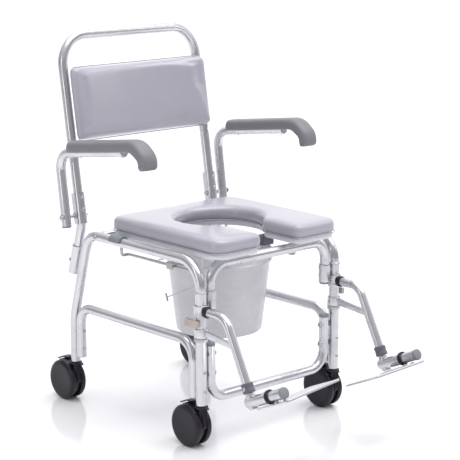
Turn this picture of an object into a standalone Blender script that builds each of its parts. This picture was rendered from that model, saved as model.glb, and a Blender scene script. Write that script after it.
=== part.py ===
"""Wheeled shower and commode chair, in metres, +Z up, facing -Y.

A folded-aluminium tube frame on four twin-wheel castors carries a padded keyhole seat, a pail on
two rod rails, a lift-out backrest with flip-back armrests, and two swing-away footrests.
The suffix L is the occupant's left (+X) and R is the occupant's right (-X).
"""
import math

import bmesh
import bpy
from mathutils import Matrix, Vector

# ---------------------------------------------------------------- driving dimensions (metres)
ORIGIN_Y = 0.1208            # the model is laid out from mid-wheelbase, then moved by this
SIDES = 12                   # facets round a tube
ARC_STEP = math.radians(18)  # one facet of a bend
GAP = 0.0003                 # play between touching pieces
OVERCUT = 0.010              # how far a cutter runs past what it cuts

TUBE_R = 0.0125
TUBE_WALL = 0.0014
SIDE_X = 0.225               # plane of each side frame
FRONT_Y = -0.260             # front leg axis
REAR_Y = 0.237               # rear leg axis at the castor
RAIL_Z = 0.457               # seat rail axis
ARCH_Z = 0.260               # lower side rail axis
LEG_FOOT_Z = 0.1075          # lower end of every leg
LEG_R = 0.0135               # the front leg is a size up, so that the rail's end can meet it
LEG_TOP_Z = 0.386
LEG_RAKE = 0.284             # rearward run of the sloping rear leg for each unit of drop
RAKE_START = (0.172, 0.457)  # y, z where the slope meets the rail's line
SIDE_BENDS = (0.068, 0.055, 0.150)
LEG_WALL = 0.0024
ARCH_FOOT_Z = (0.122, 0.125) # the lower side rail's front and rear ends
ARCH_BENDS = (0.050, 0.045)
ARCH_CLEARANCE = 0.0022      # room ahead of the rear leg for its gentle bend

INNER_X = 0.193              # verticals of the two U-shaped cross members
INNER_Y = -0.256
CROSS_BAR_Z = 0.117
CROSS_BAR_TOP_Z = 0.253
SEAT_ARCH_Z = 0.447
SEAT_ARCH_FOOT_Z = 0.340
CROSS_BAR_BEND = 0.048
SEAT_ARCH_BEND = 0.045
REAR_TUBE_Y = 0.130
REAR_TUBE_R = 0.011

POST_X = 0.222
POST_KINK = (0.2038, 0.4753) # y, z
POST_LEAN = 0.165            # rearward run for each unit of height above the kink
BACK_TOP_Z = 0.949
BACK_CORNER_R = 0.078
SOCKET_R = 0.0152
SOCKET_BORE = 0.0134
SOCKET_LENGTH = 0.078
SOCKET_RIM_Z = 0.420
POST_FOOT_Z = 0.352
POST_KINK_BEND = 0.080
SOCKET_WEB = (0.0035, 0.026) # half width and half length of the web between socket and leg

BACK_PAD_MID_Z = 0.7765
BACK_PAD_HEIGHT = 0.190
BACK_PAD_THICK = 0.032
BACK_PAD_HALF = 0.2215
BACK_PAD_EDGE = 0.012
BACK_PAD_END = 0.0335        # middle of the pad ahead of the posts, at its ends
BACK_PAD_SAG = 0.024         # how much further back it is at the middle

ARM_X = 0.2665
PIVOT = (0.209, 0.500)       # y, z of the armrest pivot bolts
PIVOT_BORE = 0.0046
PIVOT_DRILL_HALF = 0.020
PIVOT_PROFILE = (            # radius, distance from the chair's middle
    (0, 0.2030), (0.0062, 0.2030), (0.0062, 0.2068), (0.0040, 0.2068),
    (0.0040, 0.2800), (0.0070, 0.2800), (0.0070, 0.2845), (0, 0.2845),
)
BRACKET_Z = (0.479, 0.557)
BRACKET_SHEET = 0.0022
BRACKET_REAR = 0.010
ARM_LEAN = 0.14
ARM_FOOT_AHEAD = 0.002
ARM_BEND = 0.045
ARM_FOOT_Z = 0.476
ARM_RISE = 0.129             # upward run of the arm for each unit forward
ARM_CORNER = (0.2338, 0.6630)
ARM_FRONT_Y = -0.030
PAD_HALF = 0.0266
PAD_LIP = 0.0015
PAD_SECTION = (              # share of the half width, height above the tube's axis
    (1.0, PAD_LIP), (1.0, 0.017), (0.86, 0.025), (0.5, 0.030),
)
PAD_REAR_Y = 0.172
PAD_BEND_Y = -0.076
PAD_BEND_R = 0.031
PAD_BEND_TURN = math.radians(88)
PAD_TAIL = 0.014

SEAT_HALF = 0.210
SEAT_REAR_Y = 0.118
SEAT_FRONT_Y = -0.300
SEAT_CORNER = 0.034
SEAT_BOTTOM_Z = 0.474
SEAT_TOP_Z = 0.512
HOLE_R = 0.108
HOLE_Y = -0.074
SLOT_HALF = 0.056
BOARD_INSET = 0.007
BOARD_Z = (0.4625, 0.4735)
CLIP_Y = (0.030, 0.072)
CLIP_BORE = 0.0132
CLIP_OUTER_R = 0.0162
SLOT_CORNER = 0.018
INSET_SHARE = 0.4            # how much of the board's inset the hole and slot take
PAD_EDGE = 0.010

PAIL_Y = -0.0726
PAIL_RIM_Z = 0.430
PAIL_LIP_Z = 0.402
PAIL_FLOOR_Z = 0.2186
PAIL_TOP_R = 0.130
PAIL_BASE_R = 0.110
PAIL_WALL = 0.003
PAIL_CORNER = 0.014
PAIL_LIP_WIDTH = 0.004
ROD_R = 0.004
ROD_X = 0.155
ROD_Z = 0.406
ROD_DROP_Y = -0.187          # where the rod steps down from the front arch
ROD_END_Y = 0.098
ROD_BEND = 0.008
ROD_CRANK_X = 0.178          # the rear end steps outboard, clear of the pail's ears
WIRE_START = (-0.1965, -0.2407, 0.400)
WIRE_END = (-0.207, -0.113, 0.343)
WIRE_R = 0.0018
WIRE_BAR_R = 0.0026
WIRE_BAR_HALF = 0.010
WIRE_BAR_AXIS = (0, 0.35, 0.94)
EAR_HALF = 0.016
EAR_THICK = 0.008
EAR_PAST_ROD = 0.010
BAIL_R = 0.146
BAIL_WIRE_R = 0.0022
BAIL_Y = 0.0175              # behind the pail's axis
BAIL_Z = 0.0180              # above the rods' axis
BAIL_DROP = math.radians(18)

LEG_PLAY = 0.0007            # between the leg and a ring that stays put
SWIVEL_BORE = 0.0144         # rings that turn on the leg
COLLAR_R = 0.0172
LEG_COLLAR_Z = (0.2665, 0.2755)
CLAMP_R = 0.0178
CLAMP_Z = (0.3270, 0.3560)
CUP_R = 0.0135
CUP_REACH = (0.0100, 0.0272) # from the leg's axis
BRACE_R = 0.0168
BRACE_Z = (0.2760, 0.2990)
BRACE_ROOT_Z = (0.2785, 0.2965)
BRACE_TIP_Z = (0.2700, 0.2860)
BRACE_HALF = 0.0025
LATCH_X = (0.0010, 0.0120)   # outboard of the leg's surface
LATCH_Y = (-0.014, 0.034)    # from the leg's axis
LATCH_Z = (0.3035, 0.3205)
LATCH_EDGE = 0.0025
LATCH_PIVOT = (0.0065, -0.010)
HANGER_R = 0.011
HANGER_WALL = 0.0016
HANGER_BEND = 0.045
HANGER_START = 0.0275        # ahead of the front leg's axis
HANGER_END_S = 0.024
HEIGHT_COLLAR_R = 0.0158
HEIGHT_COLLAR_LENGTH = 0.0250
HANGER_Z = 0.3415
HANGER_LEAN = math.radians(27)
HANGER_MARK = (-0.419, 0.200)   # y, z of the upper edge of the height collar, on the tube's axis
STEM_R = 0.0085
STEM_S = (-0.085, 0.030)
SLEEVE_S = (0.0262, 0.0630)
SLEEVE_R = 0.0115
BARREL_TILT = math.radians(24)
BARREL_S = 0.045
BARREL_R = 0.01395
BARREL_LENGTH = 0.060
HINGE_PROFILE = (            # radius, distance along the barrel's axis
    (0, 0.0605), (0.0172, 0.0605), (0.0172, 0.0680), (0.0130, 0.0680),
    (0.0130, 0.1100), (0.0138, 0.1100), (0.0138, 0.1170), (0, 0.1180),
)
PLATE_X = (0.055, 0.236)
PLATE_T = (0.016, 0.127)
PLATE_DROP = 0.0178
PLATE_THICK = 0.005
PLATE_EDGE = 0.0008
PLATE_CORNERS = (0.010, 0.006)
PLATE_REST = {"R": math.radians(5.0), "L": math.radians(-2.0)}

WHEEL_R = 0.052
WHEEL_HALF = 0.0244
CASTOR_TRAIL = 0.036
CASTOR_TOP_Z = 0.1065
WHEEL_PROFILE = (            # radius, distance from the middle of the castor
    (0, 0.0244), (0.038, 0.0244), (0.047, 0.0234), (0.052, 0.0194),
    (0.052, 0.0102), (0.049, 0.0082), (0.0080, 0.0082),
)
AXLE_BORE = 0.0095
WEB_R = 0.044
WEB_HALF = 0.0065
STEM_BARREL_R = 0.0165
STEM_BARREL_Z = 0.1006
NOSE_Y = (-0.014, 0.030)
NOSE_Z = (0.050, 0.103)
PIN_R = 0.0075
PIN_Z = (0.095, 0.130)
RIB_Y = (0.030, 0.041)
RIB_Z = (0.087, 0.108)
HOOD_R = 0.0555
HOOD_HALF = 0.0012
HOOD_ARC = (85, 134)         # degrees about the wheels' axis, from straight back
BRAKE_HALF = 0.010
BRAKE_THICK = 0.0035
BRAKE_LINE = (               # y, z of the pedal's underside
    (0.024, 0.1108), (0.042, 0.1108), (0.066, 0.1005),
)
BRAKE_PIVOT = (0.026, 0.1125)

UP = Vector((0, 0, 1))
ALONG_X = Vector((1, 0, 0))
ALONG_Y = Vector((0, 1, 0))


# ---------------------------------------------------------------- scene and materials
def clear_scene():
    for obj in list(bpy.data.objects):
        bpy.data.objects.remove(obj, do_unlink=True)


def material(name, colour, roughness, metallic=0.0):
    found = bpy.data.materials.get(name)
    if found:
        return found
    made = bpy.data.materials.new(name)
    made.use_nodes = True
    shader = made.node_tree.nodes["Principled BSDF"]
    shader.inputs["Base Color"].default_value = (*colour, 1.0)
    shader.inputs["Roughness"].default_value = roughness
    shader.inputs["Metallic"].default_value = metallic
    return made


def aluminium():
    return material("satin_aluminium", (0.80, 0.80, 0.82), 0.28, 1.0)


def steel():
    return material("zinc_steel", (0.62, 0.62, 0.64), 0.35, 1.0)


def vinyl():
    return material("grey_vinyl", (0.42, 0.41, 0.48), 0.35)


def arm_foam():
    return material("dark_grey_foam", (0.20, 0.20, 0.22), 0.55)


def black_plastic():
    return material("black_plastic", (0.03, 0.03, 0.035), 0.45)


def grey_plastic():
    return material("dark_grey_plastic", (0.13, 0.13, 0.16), 0.50)


def beige_plastic():
    return material("beige_plastic", (0.50, 0.44, 0.38), 0.50)


def white_plastic():
    return material("white_plastic", (0.78, 0.78, 0.82), 0.40)


# ---------------------------------------------------------------- geometry helpers
def rounded_path(corners, radii):
    """Points of a path through corners, each inner corner rounded by an arc of its own radius."""
    corners = [Vector(c) for c in corners]
    path = [corners[0]]
    for before, corner, after, radius in zip(corners, corners[1:], corners[2:], radii):
        way_in = (corner - before).normalized()
        way_out = (after - corner).normalized()
        turn = way_in.angle(way_out)
        reach = radius * math.tan(turn / 2)
        start = corner - way_in * reach
        inward = (way_out - way_in * way_out.dot(way_in)).normalized()
        centre = start + inward * radius
        steps = max(1, round(turn / ARC_STEP))
        for step in range(steps + 1):
            angle = turn * step / steps
            path.append(centre - inward * radius * math.cos(angle) + way_in * radius * math.sin(angle))
    path.append(corners[-1])
    return path


def frames(path, side):
    """The two cross directions at each point of a path, carried along without twist."""
    found = []
    for i, point in enumerate(path):
        before = path[max(i - 1, 0)]
        after = path[min(i + 1, len(path) - 1)]
        aim = ((point - before).normalized() + (after - point).normalized()).normalized()
        side = (side - aim * side.dot(aim)).normalized()
        found.append((point, side, aim.cross(side)))
    return found


def circle(radius, sides=SIDES):
    """Points of a regular polygon whose corners lie on the given radius."""
    turns = [2 * math.pi * i / sides for i in range(sides)]
    return [(radius * math.cos(a), radius * math.sin(a)) for a in turns]


def ring_faces(bm, first, second):
    count = len(first)
    for i in range(count):
        j = (i + 1) % count
        bm.faces.new((first[i], first[j], second[j], second[i]))


def finish_mesh(bm, name):
    bmesh.ops.recalc_face_normals(bm, faces=bm.faces)
    mesh = bpy.data.meshes.new(name)
    bm.to_mesh(mesh)
    bm.free()
    return mesh


def new_object(name, mesh, look):
    obj = bpy.data.objects.new(name, mesh)
    bpy.context.collection.objects.link(obj)
    mesh.materials.clear()
    mesh.materials.append(look)
    mesh.shade_smooth()
    mesh.set_sharp_from_angle(angle=math.radians(40))
    return obj


def sweep(name, path, outline, look, side=ALONG_X, hole=None):
    """Carries a closed outline along a path; a hole outline makes the bar hollow, open at both ends."""
    bm = bmesh.new()
    outer = []
    inner = []
    for point, across, beyond in frames(path, side):
        outer.append([bm.verts.new(point + across * a + beyond * b) for a, b in outline])
        if hole:
            inner.append([bm.verts.new(point + across * a + beyond * b) for a, b in hole])
    for first, second in zip(outer, outer[1:]):
        ring_faces(bm, first, second)
    for first, second in zip(inner, inner[1:]):
        ring_faces(bm, second, first)
    if hole:
        ring_faces(bm, inner[0], outer[0])
        ring_faces(bm, outer[-1], inner[-1])
    else:
        bm.faces.new(outer[0])
        bm.faces.new(outer[-1])
    return new_object(name, finish_mesh(bm, name), look)


def tube(name, corners, radii, look, radius=TUBE_R, wall=TUBE_WALL, side=ALONG_X, sides=SIDES):
    return sweep(name, rounded_path(corners, radii), circle(radius, sides), look, side,
                 circle(radius - wall, sides))


def rod(name, start, end, radius, look, sides=SIDES):
    start = Vector(start)
    end = Vector(end)
    side = ALONG_X if abs((end - start).normalized().x) < 0.9 else ALONG_Y
    return sweep(name, [start, end], circle(radius, sides), look, side)


def turned(name, profile, centre, axis, look, sides=24, closed=False):
    """Turns (radius, height) points about an axis through centre. A closed profile makes a ring."""
    bm = bmesh.new()
    turn = UP.rotation_difference(Vector(axis)).to_matrix()
    rings = []
    for radius, height in profile:
        if radius == 0:
            rings.append([bm.verts.new(Vector(centre) + turn @ Vector((0, 0, height)))])
            continue
        rings.append([bm.verts.new(Vector(centre) + turn @ Vector((a, b, height)))
                      for a, b in circle(radius, sides)])
    pairs = list(zip(rings, rings[1:]))
    if closed:
        pairs.append((rings[-1], rings[0]))
    for first, second in pairs:
        if len(first) == 1:
            for i in range(sides):
                bm.faces.new((first[0], second[i], second[(i + 1) % sides]))
        elif len(second) == 1:
            for i in range(sides):
                bm.faces.new((second[0], first[(i + 1) % sides], first[i]))
        else:
            ring_faces(bm, first, second)
    return new_object(name, finish_mesh(bm, name), look)


def ring(name, centre, axis, bore, outer, low, high, look, sides=16):
    profile = [(bore, low), (outer, low), (outer, high), (bore, high)]
    return turned(name, profile, centre, axis, look, sides, closed=True)


def block(name, low, high, look, bevel=0.0, turn=None, about=(0, 0, 0)):
    """A box between two corners, its edges rounded, turned about a point by a matrix."""
    low = Vector(low)
    high = Vector(high)
    bm = bmesh.new()
    bmesh.ops.create_cube(bm, size=1.0)
    size = high - low
    bmesh.ops.scale(bm, vec=size, verts=bm.verts)
    bmesh.ops.translate(bm, vec=(low + high) / 2, verts=bm.verts)
    if bevel:
        bmesh.ops.bevel(bm, geom=bm.edges[:], offset=bevel, segments=2, affect="EDGES", profile=0.5)
    if turn is not None:
        bmesh.ops.rotate(bm, cent=Vector(about), matrix=turn, verts=bm.verts)
    return new_object(name, finish_mesh(bm, name), look)


def slab(name, outline, low, high, look, bevel=0.0, segments=3):
    """An outline in plan, extruded between two heights, its rims rounded."""
    bm = bmesh.new()
    face = bm.faces.new([bm.verts.new((x, y, low)) for x, y in outline])
    made = bmesh.ops.extrude_face_region(bm, geom=[face])
    top = [v for v in made["geom"] if isinstance(v, bmesh.types.BMVert)]
    bmesh.ops.translate(bm, vec=(0, 0, high - low), verts=top)
    if bevel:
        rims = [e for e in bm.edges if abs(e.verts[0].co.z - e.verts[1].co.z) < 1e-6]
        bmesh.ops.bevel(bm, geom=rims, offset=bevel, segments=segments, affect="EDGES", profile=0.5)
    return new_object(name, finish_mesh(bm, name), look)


def rounded_outline(corners, steps=4):
    """A closed outline from (x, y, radius) corners."""
    outline = []
    count = len(corners)
    for i, (x, y, radius) in enumerate(corners):
        if not radius:
            outline.append((x, y))
            continue
        here = Vector((x, y))
        before = Vector(corners[i - 1][:2]) - here
        after = Vector(corners[(i + 1) % count][:2]) - here
        before.normalize()
        after.normalize()
        half = before.angle(after) / 2
        centre = here + (before + after).normalized() * radius / math.sin(half)
        start = here + before * radius / math.tan(half) - centre
        end = here + after * radius / math.tan(half) - centre
        swing = start.angle_signed(end)
        for step in range(steps + 1):
            turned_by = Matrix.Rotation(-swing * step / steps, 2)
            spot = centre + turned_by @ start
            outline.append((spot.x, spot.y))
    return outline


def combine(target, tool, operation):
    """Joins or cuts two solids for good, and removes the tool."""
    modifier = target.modifiers.new(operation.lower(), "BOOLEAN")
    modifier.operation = operation
    modifier.solver = "EXACT"
    modifier.object = tool
    bpy.context.view_layer.update()
    evaluated = target.evaluated_get(bpy.context.evaluated_depsgraph_get())
    mesh = bpy.data.meshes.new_from_object(evaluated)
    target.modifiers.clear()
    target.data = mesh
    bpy.data.objects.remove(tool, do_unlink=True)
    bm = bmesh.new()
    bm.from_mesh(mesh)
    bmesh.ops.remove_doubles(bm, verts=bm.verts, dist=0.00001)
    bmesh.ops.dissolve_degenerate(bm, edges=bm.edges, dist=0.00001)
    bm.to_mesh(mesh)
    bm.free()
    mesh.set_sharp_from_angle(angle=math.radians(40))
    return target


def pivot(name, place, parent=None):
    """An empty on a joint's axis, in layout coordinates."""
    empty = bpy.data.objects.new(name, None)
    bpy.context.collection.objects.link(empty)
    here = Vector(place)
    empty["place"] = here
    empty.parent = parent
    empty.location = here - (Vector(parent["place"]) if parent else Vector((0, 0, 0)))
    return empty


def hang(parent, *pieces):
    """Parents pieces that were made in layout coordinates to an empty, with their origin on it."""
    place = Vector(parent["place"])
    for piece in pieces:
        piece.data.transform(Matrix.Translation(-place))
        piece.parent = parent


def mirror_x(side):
    return -1.0 if side == "R" else 1.0


# ---------------------------------------------------------------- frame
def rear_leg_y(z):
    return RAKE_START[0] + LEG_RAKE * (RAKE_START[1] - z)


def side_frame(side):
    x = mirror_x(side) * SIDE_X
    corners = [
        (x, FRONT_Y, LEG_TOP_Z + GAP),
        (x, FRONT_Y, RAIL_Z),
        (x, *RAKE_START),
        (x, REAR_Y, RAKE_START[1] - (REAR_Y - RAKE_START[0]) / LEG_RAKE),
        (x, REAR_Y, LEG_FOOT_Z),
    ]
    return tube(f"side_frame_{side}", corners, SIDE_BENDS, aluminium())


def front_leg(side):
    x = mirror_x(side) * SIDE_X
    corners = [(x, FRONT_Y, LEG_FOOT_Z), (x, FRONT_Y, LEG_TOP_Z)]
    return tube(f"front_leg_{side}", corners, (), aluminium(), radius=LEG_R, wall=LEG_WALL)


def lower_side_rail(side):
    x = mirror_x(side) * SIDE_X
    front = FRONT_Y + LEG_R + TUBE_R + GAP
    rear = REAR_Y - 2 * TUBE_R - ARCH_CLEARANCE
    corners = [(x, front, ARCH_FOOT_Z[0]), (x, front, ARCH_Z), (x, rear, ARCH_Z), (x, rear, ARCH_FOOT_Z[1])]
    return tube(f"lower_side_rail_{side}", corners, ARCH_BENDS, aluminium())


def lower_cross_bar():
    corners = [
        (-INNER_X, INNER_Y, CROSS_BAR_TOP_Z),
        (-INNER_X, INNER_Y, CROSS_BAR_Z),
        (INNER_X, INNER_Y, CROSS_BAR_Z),
        (INNER_X, INNER_Y, CROSS_BAR_TOP_Z),
    ]
    return tube("lower_cross_bar", corners, [CROSS_BAR_BEND] * 2, aluminium(), side=ALONG_Y)


def seat_front_arch():
    corners = [
        (-INNER_X, INNER_Y, SEAT_ARCH_FOOT_Z),
        (-INNER_X, INNER_Y, SEAT_ARCH_Z),
        (INNER_X, INNER_Y, SEAT_ARCH_Z),
        (INNER_X, INNER_Y, SEAT_ARCH_FOOT_Z),
    ]
    return tube("seat_front_arch", corners, [SEAT_ARCH_BEND] * 2, aluminium(), side=ALONG_Y)


def rear_cross_tube():
    reach = SIDE_X - TUBE_R - GAP
    corners = [(-reach, REAR_TUBE_Y, RAIL_Z), (reach, REAR_TUBE_Y, RAIL_Z)]
    return tube("rear_cross_tube", corners, (), aluminium(), radius=REAR_TUBE_R, side=ALONG_Y)


def socket_axis():
    return Vector((0, -LEG_RAKE, 1)).normalized()


def socket_y(z):
    return POST_KINK[0] + LEG_RAKE * (POST_KINK[1] - z)


def back_socket(side):
    """A sleeve behind the rear leg, held off it by a saddle block."""
    x = mirror_x(side) * POST_X
    top = Vector((x, socket_y(SOCKET_RIM_Z), SOCKET_RIM_Z))
    bottom = top - socket_axis() * SOCKET_LENGTH
    sleeve = sweep(f"back_socket_{side}", [bottom, top], circle(SOCKET_R), aluminium(), ALONG_X)
    middle = (top + bottom) / 2
    leg = Vector((mirror_x(side) * SIDE_X, rear_leg_y(middle.z), middle.z))
    across = leg - middle
    across -= socket_axis() * across.dot(socket_axis())
    reach = across.length - TUBE_R - 2 * GAP
    half_width, half_length = SOCKET_WEB
    web = block("web", (-half_width, -reach, -half_length), (half_width, 0, half_length), aluminium(),
                turn=Matrix.Rotation(math.atan(LEG_RAKE), 3, "X"))
    web.data.transform(Matrix.Translation(middle))
    combine(sleeve, web, "UNION")
    past_end = socket_axis() * OVERCUT
    bore = sweep("bore", [bottom - past_end, top + past_end], circle(SOCKET_BORE), aluminium(), ALONG_X)
    return combine(sleeve, bore, "DIFFERENCE")


def leg_collar(side):
    """The fixed thrust ring that the footrest's lower ring turns on."""
    centre = (mirror_x(side) * SIDE_X, FRONT_Y, 0)
    return ring(f"leg_collar_{side}", centre, UP, LEG_R + LEG_PLAY, COLLAR_R, *LEG_COLLAR_Z, steel())


def pail_rail(side):
    """A bent rod: bracket at the front arch, a straight run for the pail's ears, a cranked rear end."""
    way = mirror_x(side)
    arch_face = INNER_Y + TUBE_R + GAP
    rear_face = REAR_TUBE_Y - REAR_TUBE_R - GAP
    corners = [
        (way * ROD_X, arch_face, SEAT_ARCH_Z),
        (way * ROD_X, ROD_DROP_Y, SEAT_ARCH_Z),
        (way * ROD_X, ROD_DROP_Y, ROD_Z),
        (way * ROD_X, ROD_END_Y, ROD_Z),
        (way * ROD_CRANK_X, ROD_END_Y, ROD_Z),
        (way * ROD_CRANK_X, ROD_END_Y, RAIL_Z),
        (way * ROD_CRANK_X, rear_face, RAIL_Z),
    ]
    path = rounded_path(corners, [ROD_BEND] * (len(corners) - 2))
    return sweep(f"pail_rail_{side}", path, circle(ROD_R, 8), steel())


def retaining_wire():
    """A thin wire stay with a cross-bar end, on the right-hand side only."""
    start = Vector(WIRE_START)
    end = Vector(WIRE_END)
    stay = rod("retaining_wire", start, end, WIRE_R, steel(), sides=8)
    across = Vector(WIRE_BAR_AXIS).normalized() * WIRE_BAR_HALF
    bar = rod("bar", end - across, end + across, WIRE_BAR_R, steel(), sides=8)
    return combine(stay, bar, "UNION")


# ---------------------------------------------------------------- seat and pail
def keyhole(inset):
    """The seat's plan: a rounded rectangle with a round hole opening to the front by a slot."""
    half = SEAT_HALF - inset
    front = SEAT_FRONT_Y + inset
    rear = SEAT_REAR_Y - inset
    radius = HOLE_R + inset * INSET_SHARE
    slot = SLOT_HALF + inset * INSET_SHARE
    lead = math.acos(slot / radius)
    corners = [
        (slot, front, SLOT_CORNER),
        (half, front, SEAT_CORNER),
        (half, rear, SEAT_CORNER),
        (-half, rear, SEAT_CORNER),
        (-half, front, SEAT_CORNER),
        (-slot, front, SLOT_CORNER),
    ]
    first = math.pi + lead
    sweep_angle = math.pi + 2 * lead
    steps = 18
    for step in range(steps + 1):
        angle = first - sweep_angle * step / steps
        corners.append((radius * math.cos(angle), HOLE_Y + radius * math.sin(angle), 0))
    return rounded_outline(corners)


def seat_pad():
    return slab("seat_pad", keyhole(0), SEAT_BOTTOM_Z, SEAT_TOP_Z, vinyl(), bevel=PAD_EDGE)


def seat_board():
    return slab("seat_board", keyhole(BOARD_INSET), *BOARD_Z, white_plastic())


def seat_clip(side):
    """A half-round saddle that drops over the seat rail."""
    x = mirror_x(side) * SIDE_X
    steps = 8
    turns = [math.pi * i / steps for i in range(steps + 1)]
    outer = [(CLIP_OUTER_R * math.cos(a), -CLIP_OUTER_R * math.sin(a)) for a in turns]
    inner = [(CLIP_BORE * math.cos(a), -CLIP_BORE * math.sin(a)) for a in reversed(turns)]
    path = [Vector((x, CLIP_Y[0], RAIL_Z)), Vector((x, CLIP_Y[1], RAIL_Z))]
    return sweep(f"seat_clip_{side}", path, outer + inner, black_plastic())


def pail():
    wall = PAIL_WALL
    lip_r = PAIL_TOP_R + PAIL_LIP_WIDTH
    corner = PAIL_CORNER
    eased = PAIL_CORNER * 0.3
    profile = [
        (0, PAIL_FLOOR_Z),
        (PAIL_BASE_R - corner, PAIL_FLOOR_Z),
        (PAIL_BASE_R - eased, PAIL_FLOOR_Z + eased),
        (PAIL_BASE_R, PAIL_FLOOR_Z + corner),
        (PAIL_TOP_R, PAIL_LIP_Z),
        (lip_r, PAIL_LIP_Z),
        (lip_r, PAIL_RIM_Z),
        (PAIL_TOP_R, PAIL_RIM_Z),
        (PAIL_TOP_R - wall, PAIL_LIP_Z),
        (PAIL_BASE_R - wall, PAIL_FLOOR_Z + corner + wall),
        (PAIL_BASE_R - corner - wall, PAIL_FLOOR_Z + wall),
        (0, PAIL_FLOOR_Z + wall),
    ]
    body = turned("pail", profile, (0, PAIL_Y, 0), UP, white_plastic(), sides=32)
    for way in (-1, 1):
        inner = way * (PAIL_TOP_R + PAIL_LIP_WIDTH / 2)
        outer = way * (ROD_X + EAR_PAST_ROD)
        ear_z = ROD_Z + ROD_R + GAP
        low = (min(inner, outer), PAIL_Y - EAR_HALF, ear_z)
        high = (max(inner, outer), PAIL_Y + EAR_HALF, ear_z + EAR_THICK)
        combine(body, block("ear", low, high, white_plastic()), "UNION")
    return body


def pail_bail():
    """The wire handle, lying back round the rim, with its ends turned over the ears."""
    count = 20
    path = []
    for step in range(count + 1):
        angle = math.pi * step / count
        reach = BAIL_R * math.sin(angle)
        path.append(Vector((BAIL_R * math.cos(angle), PAIL_Y + BAIL_Y + reach * math.cos(BAIL_DROP),
                            ROD_Z + BAIL_Z - reach * math.sin(BAIL_DROP))))
    return sweep("pail_bail", path, circle(BAIL_WIRE_R, 8), steel())


# ---------------------------------------------------------------- backrest
def post_y(z):
    return POST_KINK[0] + POST_LEAN * (z - POST_KINK[1])


def back_frame():
    foot = (socket_y(POST_FOOT_Z), POST_FOOT_Z)
    top = (post_y(BACK_TOP_Z), BACK_TOP_Z)
    corners = [
        (-POST_X, *foot), (-POST_X, *POST_KINK), (-POST_X, *top),
        (POST_X, *top), (POST_X, *POST_KINK), (POST_X, *foot),
    ]
    radii = (POST_KINK_BEND, BACK_CORNER_R, BACK_CORNER_R, POST_KINK_BEND)
    frame = tube("back_frame", corners, radii, aluminium())
    return drill_pivots(frame, -POST_X, POST_X)


def drill_pivots(piece, *places):
    for x in places:
        drill = rod("drill", (x - PIVOT_DRILL_HALF, *PIVOT), (x + PIVOT_DRILL_HALF, *PIVOT), PIVOT_BORE,
                    steel(), sides=8)
        combine(piece, drill, "DIFFERENCE")
    return piece


def back_pad():
    """A shallow curved pad: a rounded section carried along an arc from post to post."""
    lean = Vector((0, POST_LEAN, 1)).normalized()
    ahead = ALONG_X.cross(lean).normalized()
    if ahead.y > 0:
        ahead = -ahead
    middle = Vector((0, post_y(BACK_PAD_MID_Z), BACK_PAD_MID_Z))
    path = []
    count = 10
    for step in range(count + 1):
        share = 2 * step / count - 1
        forward = BACK_PAD_END - BACK_PAD_SAG * (1 - share * share)
        path.append(middle + ALONG_X * (BACK_PAD_HALF * share) + ahead * forward)
    half_h = BACK_PAD_HEIGHT / 2
    half_t = BACK_PAD_THICK / 2
    outline = rounded_outline([
        (-half_h, -half_t, BACK_PAD_EDGE), (half_h, -half_t, BACK_PAD_EDGE),
        (half_h, half_t, BACK_PAD_EDGE), (-half_h, half_t, BACK_PAD_EDGE)], steps=3)
    return sweep("back_cushion", path, outline, vinyl(), side=lean)


def arm_bracket(side):
    """A channel round the post, closed at the front, that the pivot bolt runs through."""
    way = mirror_x(side)
    half = TUBE_R + GAP
    sheet = BRACKET_SHEET
    rear = BRACKET_REAR
    lean = Vector((0, POST_LEAN, 1)).normalized()
    low, high = (Vector((way * POST_X, post_y(z), z)) for z in BRACKET_Z)
    outline = [
        (-half - sheet, rear), (-half, rear), (-half, -half), (half, -half), (half, rear),
        (half + sheet, rear), (half + sheet, -half - sheet), (-half - sheet, -half - sheet),
    ]
    frame_dir = lean.cross(ALONG_X)
    if frame_dir.y < 0:
        outline = [(a, -b) for a, b in outline]
    bracket = sweep(f"arm_bracket_{side}", [low, high], outline, aluminium())
    return drill_pivots(bracket, way * POST_X)


def arm_pivot_bolt(side):
    way = mirror_x(side)
    return turned(f"arm_pivot_bolt_{side}", PIVOT_PROFILE, (0, *PIVOT), (way, 0, 0), steel(), sides=8)


def arm_y(z):
    return PIVOT[0] + ARM_FOOT_AHEAD + ARM_LEAN * (z - PIVOT[1])


def arm_z(y):
    return ARM_CORNER[1] + ARM_RISE * (ARM_CORNER[0] - y)


def arm_tube(side):
    x = mirror_x(side) * ARM_X
    corners = [
        (x, arm_y(ARM_FOOT_Z), ARM_FOOT_Z),
        (x, *ARM_CORNER),
        (x, ARM_FRONT_Y, arm_z(ARM_FRONT_Y)),
    ]
    arm = tube(f"arm_tube_{side}", corners, [ARM_BEND], aluminium())
    return drill_pivots(arm, x)


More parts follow.
